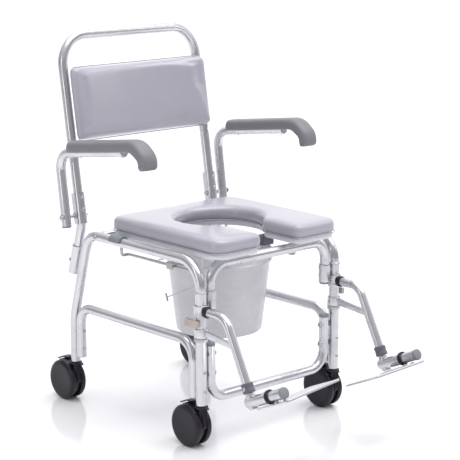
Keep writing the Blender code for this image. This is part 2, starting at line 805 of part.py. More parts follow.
def arm_pad(side):
    """A padded channel that caps the arm tube and curls down over its end."""
    x = mirror_x(side) * ARM_X
    rise = math.atan(ARM_RISE)
    forward = Vector((0, -math.cos(rise), math.sin(rise)))
    above = Vector((0, math.sin(rise), math.cos(rise)))
    start = Vector((x, PAD_REAR_Y, arm_z(PAD_REAR_Y)))
    bend = Vector((x, PAD_BEND_Y, arm_z(PAD_BEND_Y)))
    centre = bend - above * PAD_BEND_R
    path = [start, start.lerp(bend, 0.5)]
    steps = 6
    for step in range(steps + 1):
        angle = PAD_BEND_TURN * step / steps
        path.append(centre + above * PAD_BEND_R * math.cos(angle) + forward * PAD_BEND_R * math.sin(angle))
    path.append(path[-1] + (path[-1] - path[-2]).normalized() * PAD_TAIL)
    groove = TUBE_R + 2 * GAP
    section = [(PAD_HALF * across, up) for across, up in PAD_SECTION]
    section += [(-a, b) for a, b in reversed(section)]
    arc = [(-groove * math.cos(t), PAD_LIP + groove * math.sin(t)) for t in
           [math.pi * i / 6 for i in range(7)]]
    outline = section + arc
    first = frames(path, ALONG_X)[0]
    if first[2].z < 0:
        outline = [(a, -b) for a, b in outline]
    return sweep(f"arm_pad_{side}", path, outline, arm_foam())


# ---------------------------------------------------------------- footrests
def hanger_point(s):
    """A point on the sloping tube's axis, s below the collar's upper edge (y, z)."""
    return (HANGER_MARK[0] - s * math.sin(HANGER_LEAN), HANGER_MARK[1] - s * math.cos(HANGER_LEAN))


def hanger_axis():
    return Vector((0, -math.sin(HANGER_LEAN), -math.cos(HANGER_LEAN)))


def hanger_tube(side):
    x = mirror_x(side) * SIDE_X
    corner_s = (HANGER_MARK[1] - HANGER_Z) / math.cos(HANGER_LEAN)
    corners = [
        (x, FRONT_Y - HANGER_START, HANGER_Z),
        (x, *hanger_point(corner_s)),
        (x, *hanger_point(HANGER_END_S)),
    ]
    return tube(f"hanger_tube_{side}", corners, [HANGER_BEND], aluminium(), radius=HANGER_R, wall=HANGER_WALL)


def hanger_clamp(side):
    """The moulded ring that turns on the front leg and cups the end of the hanger tube."""
    x = mirror_x(side) * SIDE_X
    body = rod(f"hanger_clamp_{side}", (x, FRONT_Y, CLAMP_Z[0]), (x, FRONT_Y, CLAMP_Z[1]), CLAMP_R,
               black_plastic(), sides=16)
    near, far = CUP_REACH
    cup = rod("cup", (x, FRONT_Y - near, HANGER_Z), (x, FRONT_Y - far, HANGER_Z), CUP_R, black_plastic())
    combine(body, cup, "UNION")
    return combine(body, leg_bore(x, CLAMP_Z), "DIFFERENCE")


def leg_bore(x, z_range):
    """The cutter that lets a ring between two heights turn on the front leg."""
    return rod("bore", (x, FRONT_Y, z_range[0] - OVERCUT), (x, FRONT_Y, z_range[1] + OVERCUT), SWIVEL_BORE,
               steel(), sides=16)


def hanger_brace(side):
    """A ring on the leg with a flat arm that steadies the sloping part of the hanger."""
    x = mirror_x(side) * SIDE_X
    body = rod(f"hanger_brace_{side}", (x, FRONT_Y, BRACE_Z[0]), (x, FRONT_Y, BRACE_Z[1]), BRACE_R,
               aluminium(), sides=16)
    clear = HANGER_R / math.cos(HANGER_LEAN) + 2 * GAP
    tip_low, tip_high = ((HANGER_MARK[0] + (z - HANGER_MARK[1]) * math.tan(HANGER_LEAN) + clear, z)
                         for z in BRACE_TIP_Z)
    side_view = [(FRONT_Y, BRACE_ROOT_Z[0]), (FRONT_Y, BRACE_ROOT_Z[1]), tip_high, tip_low]
    ends = [Vector((x - BRACE_HALF, 0, 0)), Vector((x + BRACE_HALF, 0, 0))]
    combine(body, sweep("arm", ends, side_view, aluminium(), side=ALONG_Y), "UNION")
    return combine(body, leg_bore(x, BRACE_Z), "DIFFERENCE")


def hanger_latch(side):
    """The release lever beside the front leg."""
    way = mirror_x(side)
    inner = way * (SIDE_X + LEG_R + LATCH_X[0])
    outer = way * (SIDE_X + LEG_R + LATCH_X[1])
    low = (min(inner, outer), FRONT_Y + LATCH_Y[0], LATCH_Z[0])
    high = (max(inner, outer), FRONT_Y + LATCH_Y[1], LATCH_Z[1])
    return block(f"hanger_latch_{side}", low, high, beige_plastic(), bevel=LATCH_EDGE)


def height_collar(side):
    x = mirror_x(side) * SIDE_X
    return ring(f"height_collar_{side}", (x, *HANGER_MARK), hanger_axis(), HANGER_R + 2 * GAP,
                HEIGHT_COLLAR_R, 0.0, HEIGHT_COLLAR_LENGTH, grey_plastic())


def barrel_axis():
    return Vector((0, -math.cos(BARREL_TILT), math.sin(BARREL_TILT)))


def barrel_start(side):
    return Vector((mirror_x(side) * SIDE_X, *hanger_point(BARREL_S)))


def footrest_stem(side):
    """The inner rod that slides in the hanger, its foot sleeve and the footplate's fixed barrel."""
    x = mirror_x(side) * SIDE_X
    stem = rod(f"footrest_stem_{side}", (x, *hanger_point(STEM_S[0])), (x, *hanger_point(STEM_S[1])), STEM_R,
               aluminium())
    foot = rod("foot", (x, *hanger_point(SLEEVE_S[0])), (x, *hanger_point(SLEEVE_S[1])), SLEEVE_R,
               aluminium())
    combine(stem, foot, "UNION")
    start = barrel_start(side)
    barrel = rod("barrel", start, start + barrel_axis() * BARREL_LENGTH, BARREL_R, aluminium(), sides=14)
    return combine(stem, barrel, "UNION")


def foot_hinge(side):
    """The turning end of the barrel: a black ring, a sleeve and its end plug."""
    return turned(f"foot_hinge_{side}", HINGE_PROFILE, barrel_start(side), barrel_axis(), aluminium(),
                  sides=16)


def footplate(side):
    """A flat tread under the barrel, reaching inboard, square to the hanger's slope."""
    way = mirror_x(side)
    inner = way * PLATE_X[0]
    outer = way * PLATE_X[1]
    low_x = min(inner, outer)
    high_x = max(inner, outer)
    outline = rounded_outline([
        (low_x, -PLATE_T[1], PLATE_CORNERS[0]), (high_x, -PLATE_T[1], PLATE_CORNERS[0]),
        (high_x, -PLATE_T[0], PLATE_CORNERS[1]), (low_x, -PLATE_T[0], PLATE_CORNERS[1])], steps=2)
    plate = slab(f"footplate_{side}", outline, -PLATE_DROP - PLATE_THICK, -PLATE_DROP, aluminium(),
                 bevel=PLATE_EDGE, segments=1)
    tilt = Matrix.Rotation(-BARREL_TILT, 4, "X")
    start = barrel_start(side)
    plate.data.transform(Matrix.Translation(Vector((0, start.y, start.z))) @ tilt)
    turn = Matrix.Rotation(way * PLATE_REST[side], 4, -barrel_axis())
    plate.data.transform(Matrix.Translation(start) @ turn @ Matrix.Translation(-start))
    return plate


# ---------------------------------------------------------------- castors, laid out about their stem
def castor_housing_mesh():
    """Web between the wheels, stem barrel, swivel pin and the hood over the wheels."""
    hub = Vector((0, CASTOR_TRAIL, WHEEL_R))
    web = ALONG_X * WEB_HALF
    body = rod("castor_housing", hub - web, hub + web, WEB_R, black_plastic(), sides=20)
    added = [
        rod("stem", (0, 0, STEM_BARREL_Z), (0, 0, CASTOR_TOP_Z), STEM_BARREL_R, black_plastic(), sides=14),
        block("nose", (-WEB_HALF, NOSE_Y[0], NOSE_Z[0]), (WEB_HALF, NOSE_Y[1], NOSE_Z[1]), black_plastic()),
        rod("pin", (0, 0, PIN_Z[0]), (0, 0, PIN_Z[1]), PIN_R, black_plastic(), sides=10),
        castor_hood(hub),
        block("rib", (-WEB_HALF, RIB_Y[0], RIB_Z[0]), (WEB_HALF, RIB_Y[1], RIB_Z[1]), black_plastic()),
    ]
    for piece in added:
        combine(body, piece, "UNION")
    reach = ALONG_X * OVERCUT
    return combine(body, rod("axle", hub - reach, hub + reach, AXLE_BORE, black_plastic()), "DIFFERENCE")


def castor_hood(hub):
    """The mudguard: a thin strip on an arc about the wheels' axis."""
    steps = 4
    start, end = HOOD_ARC
    arc = []
    for step in range(steps + 1):
        angle = math.radians(start + (end - start) * step / steps)
        arc.append(hub + Vector((0, math.cos(angle), math.sin(angle))) * HOOD_R)
    half = WHEEL_HALF - 3 * GAP
    outline = [(-half, -HOOD_HALF), (half, -HOOD_HALF), (half, HOOD_HALF), (-half, HOOD_HALF)]
    return sweep("hood", arc, outline, black_plastic())


def castor_wheels_mesh():
    """Both wheels and their axle in one, as they turn together here."""
    right = [(radius, -height) for radius, height in WHEEL_PROFILE]
    profile = right + [(radius, -height) for radius, height in reversed(right)]
    return turned("castor_wheels", profile, (0, CASTOR_TRAIL, WHEEL_R), ALONG_X, black_plastic(), sides=24)


def castor_brake_mesh():
    """The pedal over the hood: a strip whose rear half slopes down behind the wheels' top."""
    ends = [Vector((-BRAKE_HALF, 0, 0)), Vector((BRAKE_HALF, 0, 0))]
    over = [(y, z + BRAKE_THICK) for y, z in reversed(BRAKE_LINE)]
    return sweep("castor_brake", ends, list(BRAKE_LINE) + over, black_plastic(), side=ALONG_Y)


def castors(root):
    """Four castors that share three meshes, each wheel pair and brake on a pivot of its own."""
    masters = {
        "castor_housing": castor_housing_mesh(),
        "castor_wheels": castor_wheels_mesh(),
        "castor_brake": castor_brake_mesh(),
    }
    hub = Vector((0, CASTOR_TRAIL, WHEEL_R))
    hinge = Vector((0, *BRAKE_PIVOT))
    masters["castor_wheels"].data.transform(Matrix.Translation(-hub))
    masters["castor_brake"].data.transform(Matrix.Translation(-hinge))
    for y, end in ((FRONT_Y, "F"), (REAR_Y, "R")):
        for side in ("L", "R"):
            tag = end + side
            swivel_place = Vector((mirror_x(side) * SIDE_X, y, 0))
            swivel = pivot(f"swivel_{tag}", swivel_place, root)
            hub_pivot = pivot(f"hub_{tag}", swivel_place + hub, swivel)
            brake_pivot = pivot(f"brake_hinge_{tag}", swivel_place + hinge, swivel)
            for name, parent in (("castor_housing", swivel), ("castor_wheels", hub_pivot),
                                 ("castor_brake", brake_pivot)):
                copy = bpy.data.objects.new(f"{name}_{tag}", masters[name].data)
                bpy.context.collection.objects.link(copy)
                copy.parent = parent
    for master in masters.values():
        bpy.data.objects.remove(master, do_unlink=True)


# ---------------------------------------------------------------- assembly
def main():
    clear_scene()
    root = pivot("chair", (0, 0, 0))
    hang(root, lower_cross_bar(), seat_front_arch(), rear_cross_tube(), retaining_wire())
    seat = pivot("seat_lift", (0, 0, SEAT_BOTTOM_Z), root)
    hang(seat, seat_pad(), seat_board())
    bucket = pivot("pail_slide", (0, PAIL_Y, ROD_Z), root)
    hang(bucket, pail())
    bail = pivot("bail_hinge", (0, PAIL_Y + BAIL_Y, ROD_Z + BAIL_Z), bucket)
    hang(bail, pail_bail())
    back = pivot("back_lift", (0, socket_y(SOCKET_RIM_Z), SOCKET_RIM_Z), root)
    hang(back, back_frame(), back_pad())
    for side in ("L", "R"):
        way = mirror_x(side)
        hang(root, side_frame(side), front_leg(side), lower_side_rail(side), back_socket(side),
             pail_rail(side), leg_collar(side))
        hang(seat, seat_clip(side))
        hang(back, arm_bracket(side), arm_pivot_bolt(side))
        arm = pivot(f"arm_hinge_{side}", (way * ARM_X, *PIVOT), back)
        hang(arm, arm_tube(side), arm_pad(side))
        swing = pivot(f"hanger_hinge_{side}", (way * SIDE_X, FRONT_Y, HANGER_Z), root)
        hang(swing, hanger_tube(side), hanger_clamp(side), hanger_brace(side), height_collar(side))
        latch = pivot(f"latch_hinge_{side}", (way * (SIDE_X + LEG_R + LATCH_PIVOT[0]),
                                              FRONT_Y + LATCH_PIVOT[1], sum(LATCH_Z) / 2), root)
        hang(latch, hanger_latch(side))
        slide = pivot(f"footrest_slide_{side}", (way * SIDE_X, *HANGER_MARK), swing)
        hang(slide, footrest_stem(side))
        tread = pivot(f"footplate_hinge_{side}", barrel_start(side), slide)
        hang(tread, foot_hinge(side), footplate(side))
    castors(root)
    root.location.y = ORIGIN_Y


main()
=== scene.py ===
# %% [markdown]
# # A wheeled shower and commode chair
#
# The frame is bent aluminium tube, the seat and back are foam under welded vinyl, and everything that
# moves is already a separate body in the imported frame. This lesson dresses that frame. Each step says
# what a piece is on the real chair, how it could be made, and why this way was chosen.

# %%
import math

import bpy
import numpy as np
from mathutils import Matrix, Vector


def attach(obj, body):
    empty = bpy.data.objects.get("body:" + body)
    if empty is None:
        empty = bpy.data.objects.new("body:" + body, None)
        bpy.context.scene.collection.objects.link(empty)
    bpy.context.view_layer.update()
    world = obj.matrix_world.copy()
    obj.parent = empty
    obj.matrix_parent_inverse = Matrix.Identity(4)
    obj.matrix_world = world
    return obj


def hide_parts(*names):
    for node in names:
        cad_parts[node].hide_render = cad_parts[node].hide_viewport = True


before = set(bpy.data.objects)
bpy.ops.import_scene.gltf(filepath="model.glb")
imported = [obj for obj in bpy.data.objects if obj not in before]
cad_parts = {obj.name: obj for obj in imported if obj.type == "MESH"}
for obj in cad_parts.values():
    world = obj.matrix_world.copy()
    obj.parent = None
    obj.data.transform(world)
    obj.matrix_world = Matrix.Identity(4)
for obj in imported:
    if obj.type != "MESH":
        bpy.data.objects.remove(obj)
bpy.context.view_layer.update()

# %% [markdown]
# ## Sizes
# The chair is laid out from the middle of its wheelbase, as a frame builder's drawing would be, and the
# whole lot moves by ORIGIN_Y when a mesh is made. All lengths are metres. L is the occupant's left, +X.

# %%
ORIGIN_Y = 0.1208
SHIFT = np.array([0.0, ORIGIN_Y, 0.0])
SIDES = {"L": (1.0, "left"), "R": (-1.0, "right")}

TUBE_R = 0.0125
LEG_R = 0.0135
SIDE_X = 0.225
FRONT_Y = -0.260
REAR_Y = 0.237
RAIL_Z = 0.457
ARCH_Z = 0.260
FOOT_Z = 0.1075
LEG_TOP_Z = 0.386
RAKE = 0.284
RAKE_TOP = (0.172, 0.457)
INNER_X = 0.193
INNER_Y = -0.256
POST_X = 0.222
KINK = (0.2038, 0.4753)
LEAN = 0.165
ARM_X = 0.2665
PIVOT = (0.209, 0.500)
ARM_CORNER = (0.2338, 0.6630)
ARM_RISE = 0.129
HANGER_Z = 0.3415
HANGER_LEAN = math.radians(27)
HANGER_MARK = (-0.419, 0.200)
BARREL_TILT = math.radians(24)
PAIL_Y = -0.0726
WHEEL_R = 0.052
TRAIL = 0.036
print("wheelbase", round(REAR_Y - FRONT_Y, 3), "m, sides", list(SIDES))

# %% [markdown]
# ## Small tools: vectors, paths and grids
# Nearly every piece here is a profile carried along a path, or a profile turned about an axis. Both give
# a grid of points, rows along the piece and columns round it, so one function can turn any of them into a
# closed mesh. A path's corners are rounded by arcs, which is what a tube bender does.

# %%
def unit(v):
    """Each row divided by its length."""
    v = np.asarray(v, float)
    return v / np.linalg.norm(v, axis=-1, keepdims=True)


def rounded_path(corners, radii, step=math.radians(4)):
    """Straight runs joined by arcs: each arc starts one tangent length before its corner."""
    corners = np.asarray(corners, float)
    parts = [corners[:1]]
    for before, corner, after, radius in zip(corners, corners[1:], corners[2:], radii):
        way_in = unit(corner - before)
        way_out = unit(after - corner)
        turn = math.acos(float(np.clip(way_in @ way_out, -1, 1)))
        start = corner - way_in * radius * math.tan(turn / 2)
        inward = unit(way_out - way_in * (way_in @ way_out))
        angle = np.linspace(0, turn, max(3, round(turn / step) + 1))[:, None]
        parts.append(start + inward * radius * (1 - np.cos(angle)) + way_in * radius * np.sin(angle))
    parts.append(corners[-1:])
    return np.concatenate(parts)


print("paths ready")

# %% [markdown]
# ### Sections carried along a path, and turned profiles
# A tube is a circle carried along its centre line. A knob, a wheel or a bolt head is a profile turned about
# an axis. Every moulded or filed edge is rounded a little, because a perfectly sharp one looks false.

# %%
def circle(radius, count=40):
    """(radius cos a, radius sin a) for count even turns."""
    a = np.linspace(0, 2 * math.pi, count, endpoint=False)
    return np.stack([radius * np.cos(a), radius * np.sin(a)], -1)


def carry(path, section, side=(1, 0, 0)):
    """Grid of path point + across * a + beyond * b, across being the side made square to the path."""
    path = np.asarray(path, float)
    runs = unit(np.diff(path, axis=0))
    tangent = unit(np.concatenate([runs[:1], runs[:-1] + runs[1:], runs[-1:]]))
    side = np.asarray(side, float)
    across = unit(side - tangent * (tangent @ side)[:, None])
    beyond = np.cross(tangent, across)
    section = np.broadcast_to(section, (len(path),) + np.shape(section)[-2:])
    return path[:, None] + across[:, None] * section[..., :1] + beyond[:, None] * section[..., 1:]


def turn_about(profile, centre, axis, count=48):
    """Grid of centre + axis * height + radius * (p cos a + q sin a), with p and q square to the axis."""
    axis = unit(axis)
    spare = np.array([0.0, 0.0, 1.0]) if abs(axis[2]) < 0.9 else np.array([1.0, 0.0, 0.0])
    p = unit(np.cross(axis, spare))
    q = np.cross(axis, p)
    a = np.linspace(0, 2 * math.pi, count, endpoint=False)
    round_it = np.cos(a)[:, None] * p + np.sin(a)[:, None] * q
    radius, height = np.asarray(profile, float).T[:, :, None, None]
    return np.asarray(centre, float) + height * axis + radius * round_it


def softened(profile, radius=0.0006):
    """A profile whose inner corners are rounded by a small arc, as a moulding or a filed edge has."""
    profile = np.asarray(profile, float)
    runs = np.linalg.norm(np.diff(profile, axis=0), axis=1)
    radii = np.minimum(radius, 0.42 * np.minimum(runs[:-1], runs[1:]))
    return rounded_path(profile, radii, math.radians(30))


print("sections ready")

# %% [markdown]
# ### From grids to meshes
# Quads join neighbouring rows, flat caps close the open ends, and the signed volume says whether the whole
# has to be turned inside out. The UV is plain metres, so that drawn lines can follow a bent tube.

# %%
def grid_faces(rows, cols, close_rows=False):
    """Corner indices of every quad between neighbouring rows; the columns wrap round."""
    r = np.arange(rows if close_rows else rows - 1)[:, None]
    c = np.arange(cols)[None, :]
    n = (r + 1) % rows
    m = (c + 1) % cols
    return np.stack([r * cols + c, r * cols + m, n * cols + m, n * cols + c], -1).reshape(-1, 4)


def grid_uv(grid, close_rows):
    """Metres round the piece and metres along it, for the four corners of each quad."""
    rows, cols = grid.shape[:2]
    loop = np.concatenate([grid, grid[:, :1]], 1)
    u = np.concatenate([[0], np.cumsum(np.linalg.norm(np.diff(loop, axis=1), axis=2).mean(0))])
    long = np.concatenate([grid, grid[:1]]) if close_rows else grid
    v = np.concatenate([[0], np.cumsum(np.linalg.norm(np.diff(long, axis=0), axis=2).mean(1))])
    r, c = np.meshgrid(np.arange(len(v) - 1), np.arange(cols), indexing="ij")
    corners = [(u[c], v[r]), (u[c + 1], v[r]), (u[c + 1], v[r + 1]), (u[c], v[r + 1])]
    return np.stack([np.stack(pair, -1) for pair in corners], 2).reshape(-1, 2)


def object_from(name, grids, look, body, close_rows=False, sharp=38, stands_for=()):
    """One closed mesh from one or more grids, its open ends capped, facing out, riding on a body.

    It takes the place of the plain CAD nodes that it stands for.
    """
    points, faces, uvs, base = [], [], [], 0
    for grid in grids:
        rows, cols = grid.shape[:2]
        quads = grid_faces(rows, cols, close_rows)
        flat = grid.reshape(-1, 3)
        a, b, c, d = (flat[quads[:, k]] for k in range(4))
        volume = (np.cross(c - a, d - b) * (a + b + c + d)).sum()
        caps = [] if close_rows else [list(range(cols))[::-1], list(range((rows - 1) * cols, rows * cols))]
        uv = grid_uv(grid, close_rows)
        if volume < 0:
            quads = quads[:, ::-1]
            uv = uv.reshape(-1, 4, 2)[:, ::-1].reshape(-1, 2)
            caps = [cap[::-1] for cap in caps]
        faces += (quads + base).tolist() + [[i + base for i in cap] for cap in caps]
        uvs += [uv, np.zeros((sum(len(cap) for cap in caps), 2))]
        points.append(flat)
        base += len(flat)
    mesh = bpy.data.meshes.new(name)
    mesh.from_pydata((np.concatenate(points) + SHIFT).tolist(), [], faces)
    mesh.uv_layers.new(name="run").data.foreach_set("uv", np.concatenate(uvs).ravel())
    mesh.materials.append(look)
    mesh.shade_smooth()
    mesh.set_sharp_from_angle(angle=math.radians(sharp))
    obj = bpy.data.objects.new(name, mesh)
    bpy.context.collection.objects.link(obj)
    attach(obj, body)
    if stands_for:
        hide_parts(*stands_for)
    return obj


print("meshes ready")

# %% [markdown]
# ### Tubes, turned pieces and slabs
# These are the calls that the rest of the lesson uses. A slab is an outline with rolled rims, which
# serves for
# plates, levers, ribs and the foam of the seat.

# %%
def tube(name, corners, radii, radius, look, body, side=(1, 0, 0), count=40, edge=0.0008, stands_for=()):
    """A round tube along a bent path, its two cut edges eased."""
    path = rounded_path(corners, radii)
    first = path[0] + unit(path[1] - path[0]) * edge
    last = path[-1] + unit(path[-2] - path[-1]) * edge
    path = np.concatenate([path[:1], first[None], path[1:-1], last[None], path[-1:]])
    scale = np.ones(len(path))
    scale[[0, -1]] = 1 - edge / radius
    grid = carry(path, circle(radius, count) * scale[:, None, None], side)
    return object_from(name, [grid], look, body, stands_for=stands_for)


def lathe(name, profile, centre, axis, look, body, count=48, soft=0.0006, ring=False, stands_for=()):
    """A turned piece. A ring's profile is closed, so it keeps its bore."""
    profile = np.asarray(profile, float)
    if ring:
        middle = (profile[0] + profile[-1]) / 2
        shape = softened(np.concatenate([[middle], profile, [middle]]), soft)[:-1]
    else:
        shape = softened(profile, soft)
    grid = turn_about(shape, centre, axis, count)
    return object_from(name, [grid], look, body, close_rows=ring, stands_for=stands_for)


def slab_grid(outline, low, high, edge, steps=4):
    """Rows from rim to rim, the outline drawn in by edge * (1 - sin a) over a quarter turn at each."""
    outline = np.asarray(outline, float)
    ahead = np.roll(outline, -1, 0)
    behind = np.roll(outline, 1, 0)
    along = unit(ahead - behind)
    out = np.stack([along[:, 1], -along[:, 0]], -1)
    x, y = outline.T
    area = (x * np.roll(y, -1) - np.roll(x, -1) * y).sum()
    out = out if area > 0 else -out
    a = np.linspace(0, math.pi / 2, steps + 1)
    drawn_in = np.concatenate([edge * (1 - np.sin(a)), (edge * (1 - np.sin(a)))[::-1]])
    height = np.concatenate([low + edge * (1 - np.cos(a)), (high - edge * (1 - np.cos(a)))[::-1]])
    flat = outline[None] - out[None] * drawn_in[:, None, None]
    return np.concatenate([flat, np.broadcast_to(height[:, None, None], flat.shape[:2] + (1,))], -1)


def outline_of(corners, steps=8):
    """A closed outline from (x, y, radius) corners."""
    found = []
    count = len(corners)
    for i, (x, y, radius) in enumerate(corners):
        here = np.array([x, y], float)
        if not radius:
            found.append(here[None])
            continue
        before = np.array(corners[i - 1][:2], float)
        after = np.array(corners[(i + 1) % count][:2], float)
        found.append(rounded_path([before, here, after], [radius], math.pi / 2 / steps)[1:-1])
    return np.concatenate(found)


def rectangle(low_x, high_x, low_y, high_y, near, far=None, steps=8):
    """A rounded rectangle, with one radius for its low_y corners and one for its high_y corners."""
    far = near if far is None else far
    corners = [(low_x, low_y, near), (high_x, low_y, near), (high_x, high_y, far), (low_x, high_y, far)]
    return outline_of(corners, steps)


def moved(grid, matrix=None, shift=(0, 0, 0)):
    """A grid turned by a 3 by 3 matrix, then moved."""
    grid = grid if matrix is None else grid @ np.asarray(matrix).T
    return grid + np.asarray(shift, float)


def turn_x(angle):
    """The matrix of a turn about X."""
    c, s = math.cos(angle), math.sin(angle)
    return np.array([[1, 0, 0], [0, c, -s], [0, s, c]])


print("tools ready")

# %% [markdown]
# ## A small language for finishes
# A finish is arithmetic on a few patterns. The class below wraps one output socket, so that `grain * 0.1
# + 0.3` adds the Math nodes it needs. Only colour, roughness and bump vary; everything else is a constant
# on the shader.

# %%
class Value:
    """One output of a shader graph."""

    def __init__(self, tree, socket):
        self.tree = tree
        self.socket = socket

    def math(self, operation, *others, clamp=False):
        node = self.tree.nodes.new("ShaderNodeMath")
        node.operation = operation
        node.use_clamp = clamp
        for slot, value in zip(node.inputs, (self, *others)):
            if isinstance(value, Value):
                self.tree.links.new(value.socket, slot)
            else:
                slot.default_value = value
        return Value(self.tree, node.outputs[0])

    def __add__(self, other):
        return self.math("ADD", other)

    def __sub__(self, other):
        return self.math("SUBTRACT", other)

    def __mul__(self, other):
        return self.math("MULTIPLY", other)

    def clipped(self, low, high):
        """0 below low, 1 above high, straight between."""
        return ((self - low) * (1 / (high - low))).math("ADD", 0.0, clamp=True)


print("values ready")

# %% [markdown]
# ### The mixing bench
# One object per material holds the tree. It makes any node, places patterns in the piece's own metres,
# blends
# two colours and wires the result to the shader.

# %%
class Finish:
    """A material being mixed: patterns first, then one call that wires them to the shader."""

    def __init__(self, name, **constants):
        self.material = bpy.data.materials.new(name)
        self.material.use_nodes = True
        self.tree = self.material.node_tree
        self.shader = self.tree.nodes["Principled BSDF"]
        for key, value in constants.items():
            self.shader.inputs[key.replace("_", " ")].default_value = value

    def node(self, kind, out=0, inputs=None, **settings):
        made = self.tree.nodes.new(kind)
        for key, value in settings.items():
            setattr(made, key, value)
        for key, value in (inputs or {}).items():
            if isinstance(value, Value):
                self.tree.links.new(value.socket, made.inputs[key])
            else:
                made.inputs[key].default_value = value
        return Value(self.tree, made.outputs[out])

    def place(self, stretch=(1, 1, 1), run=False):
        """Object coordinates, or the metres round and along a swept piece, each axis stretched."""
        if run:
            where = self.node("ShaderNodeUVMap", uv_map="run")
        else:
            where = self.node("ShaderNodeTexCoord", out=3)
        return self.node("ShaderNodeMapping", inputs={"Vector": where, "Scale": stretch})

    def noise(self, where, scale, detail=3.0, roughness=0.5):
        return self.node("ShaderNodeTexNoise", inputs={"Vector": where, "Scale": scale, "Detail": detail,
                                                       "Roughness": roughness})

    def cells(self, where, scale, feature="F1"):
        return self.node("ShaderNodeTexVoronoi", feature=feature, inputs={"Vector": where, "Scale": scale})

    def blend(self, share, first, second):
        """first where share is 0, second where it is 1."""
        made = self.tree.nodes.new("ShaderNodeMix")
        made.data_type = "RGBA"
        self.tree.links.new(share.socket, made.inputs[0])
        for slot, colour in ((made.inputs[6], first), (made.inputs[7], second)):
            if isinstance(colour, Value):
                self.tree.links.new(colour.socket, slot)
            else:
                slot.default_value = (*colour, 1.0)
        return Value(self.tree, made.outputs[2])

    def wire(self, colour, roughness, height=None, depth=0.0002, strength=1.0):
        """Colour, roughness and relief into the shader. Height runs from 0 to 1 and depth is metres."""
        self.tree.links.new(colour.socket, self.shader.inputs["Base Color"])
        self.tree.links.new(roughness.socket, self.shader.inputs["Roughness"])
        if height is not None:
            bump = self.node("ShaderNodeBump", inputs={"Height": height, "Distance": depth,
                                                       "Strength": strength})
            self.tree.links.new(bump.socket, self.shader.inputs["Normal"])
        return self.material


print("mixing bench ready")

# %% [markdown]
# ### Aluminium
# The tubes are drawn, then anodised in a satin silver. Drawing leaves hair lines along the tube, so the
# pattern is a noise squeezed round the tube and stretched along it. Handling leaves cloudy patches that
# are a little rougher.

# %%
def drawn_aluminium(name, light=(0.66, 0.66, 0.685), dark=(0.52, 0.52, 0.55), run=True, base=0.22):
    """Hair lines along the draw, cloudy handling wear, and fine specks."""
    look = Finish(name, Metallic=0.92, IOR=1.6)
    where = look.place((1.0, 0.012, 1.0), run=True) if run else look.place((1.0, 0.04, 1.0))
    lines = look.noise(where, 2600.0, 2.0)
    clouds = look.noise(look.place(), 16.0, 4.0, 0.6)
    specks = look.cells(look.place(), 320.0)
    wear = clouds.clipped(0.50, 0.72)
    colour = look.blend(wear * 0.55 + lines * 0.25, light, dark)
    roughness = lines * 0.10 + wear * 0.10 + (specks.clipped(0.0, 0.12) * -0.03 + base)
    return look.wire(colour, roughness, lines * 0.7 + specks * 0.3, 0.00003, 0.25)


def plain_zinc(name, tint=(0.62, 0.62, 0.64)):
    """Spangled plate under a dull film."""
    look = Finish(name, Metallic=1.0)
    spangle = look.cells(look.place(), 420.0)
    clouds = look.noise(look.place(), 60.0, 3.0)
    darker = tuple(0.62 * c for c in tint)
    colour = look.blend(spangle * 0.5 + clouds.clipped(0.45, 0.75) * 0.4, tint, darker)
    return look.wire(colour, spangle * 0.15 + (clouds * 0.15 + 0.22), spangle, 0.00005, 0.4)


print("metals ready")

# %% [markdown]
# ### Vinyl, skinned foam and mouldings
# The pads are covered in a glossy wipe-clean vinyl with a fine pebble. Foam under it is never quite even,
# so a slow wave in the relief breaks up the highlights. The arm pads are moulded in one with a leathery
# skin. The mouldings take the fine texture of an eroded steel tool, and pick up a little dust and
# rubbing.

# %%
def vinyl(name, colour=(0.385, 0.374, 0.430)):
    """Pebbled vinyl under a clear coat, over foam that is a little uneven."""
    look = Finish(name, Coat_Weight=0.65, Coat_Roughness=0.14, Specular_IOR_Level=0.5)
    pebble = look.cells(look.place(), 760.0, "SMOOTH_F1")
    pores = look.noise(look.place(), 2400.0, 2.0)
    slow = look.noise(look.place((1.0, 1.0, 1.6)), 13.0, 2.0, 0.45)
    patches = look.noise(look.place(), 5.0, 3.0)
    paler = tuple(min(1.0, 1.09 * c) for c in colour)
    shade = look.blend(patches.clipped(0.35, 0.65) * 0.6 + pores * 0.2, colour, paler)
    roughness = pebble * 0.12 + (patches * 0.10 + 0.24)
    relief = look.node("ShaderNodeBump", inputs={"Height": slow, "Distance": 0.0035, "Strength": 0.35})
    fine = look.node("ShaderNodeBump", inputs={"Height": pebble * 0.8 + pores * 0.2, "Distance": 0.00016,
                                               "Strength": 0.55, "Normal": relief})
    look.tree.links.new(shade.socket, look.shader.inputs["Base Color"])
    look.tree.links.new(roughness.socket, look.shader.inputs["Roughness"])
    look.tree.links.new(fine.socket, look.shader.inputs["Normal"])
    return look.material


def moulded(name, colour, gloss=0.40, texture=1500.0, depth=0.00008, dust=0.30, **constants):
    """Fine eroded texture, with paler rubbed patches."""
    look = Finish(name, **constants)
    fine = look.noise(look.place(), texture, 2.0)
    clouds = look.noise(look.place(), 28.0, 5.0, 0.62)
    rubbed = clouds.clipped(0.52, 0.74)
    paler = tuple(min(1.0, c * 1.30 + 0.010) for c in colour)
    shade = look.blend(rubbed * dust + fine * 0.18, colour, paler)
    return look.wire(shade, rubbed * 0.10 + (fine * 0.12 + gloss - 0.06), fine, depth, 0.6)


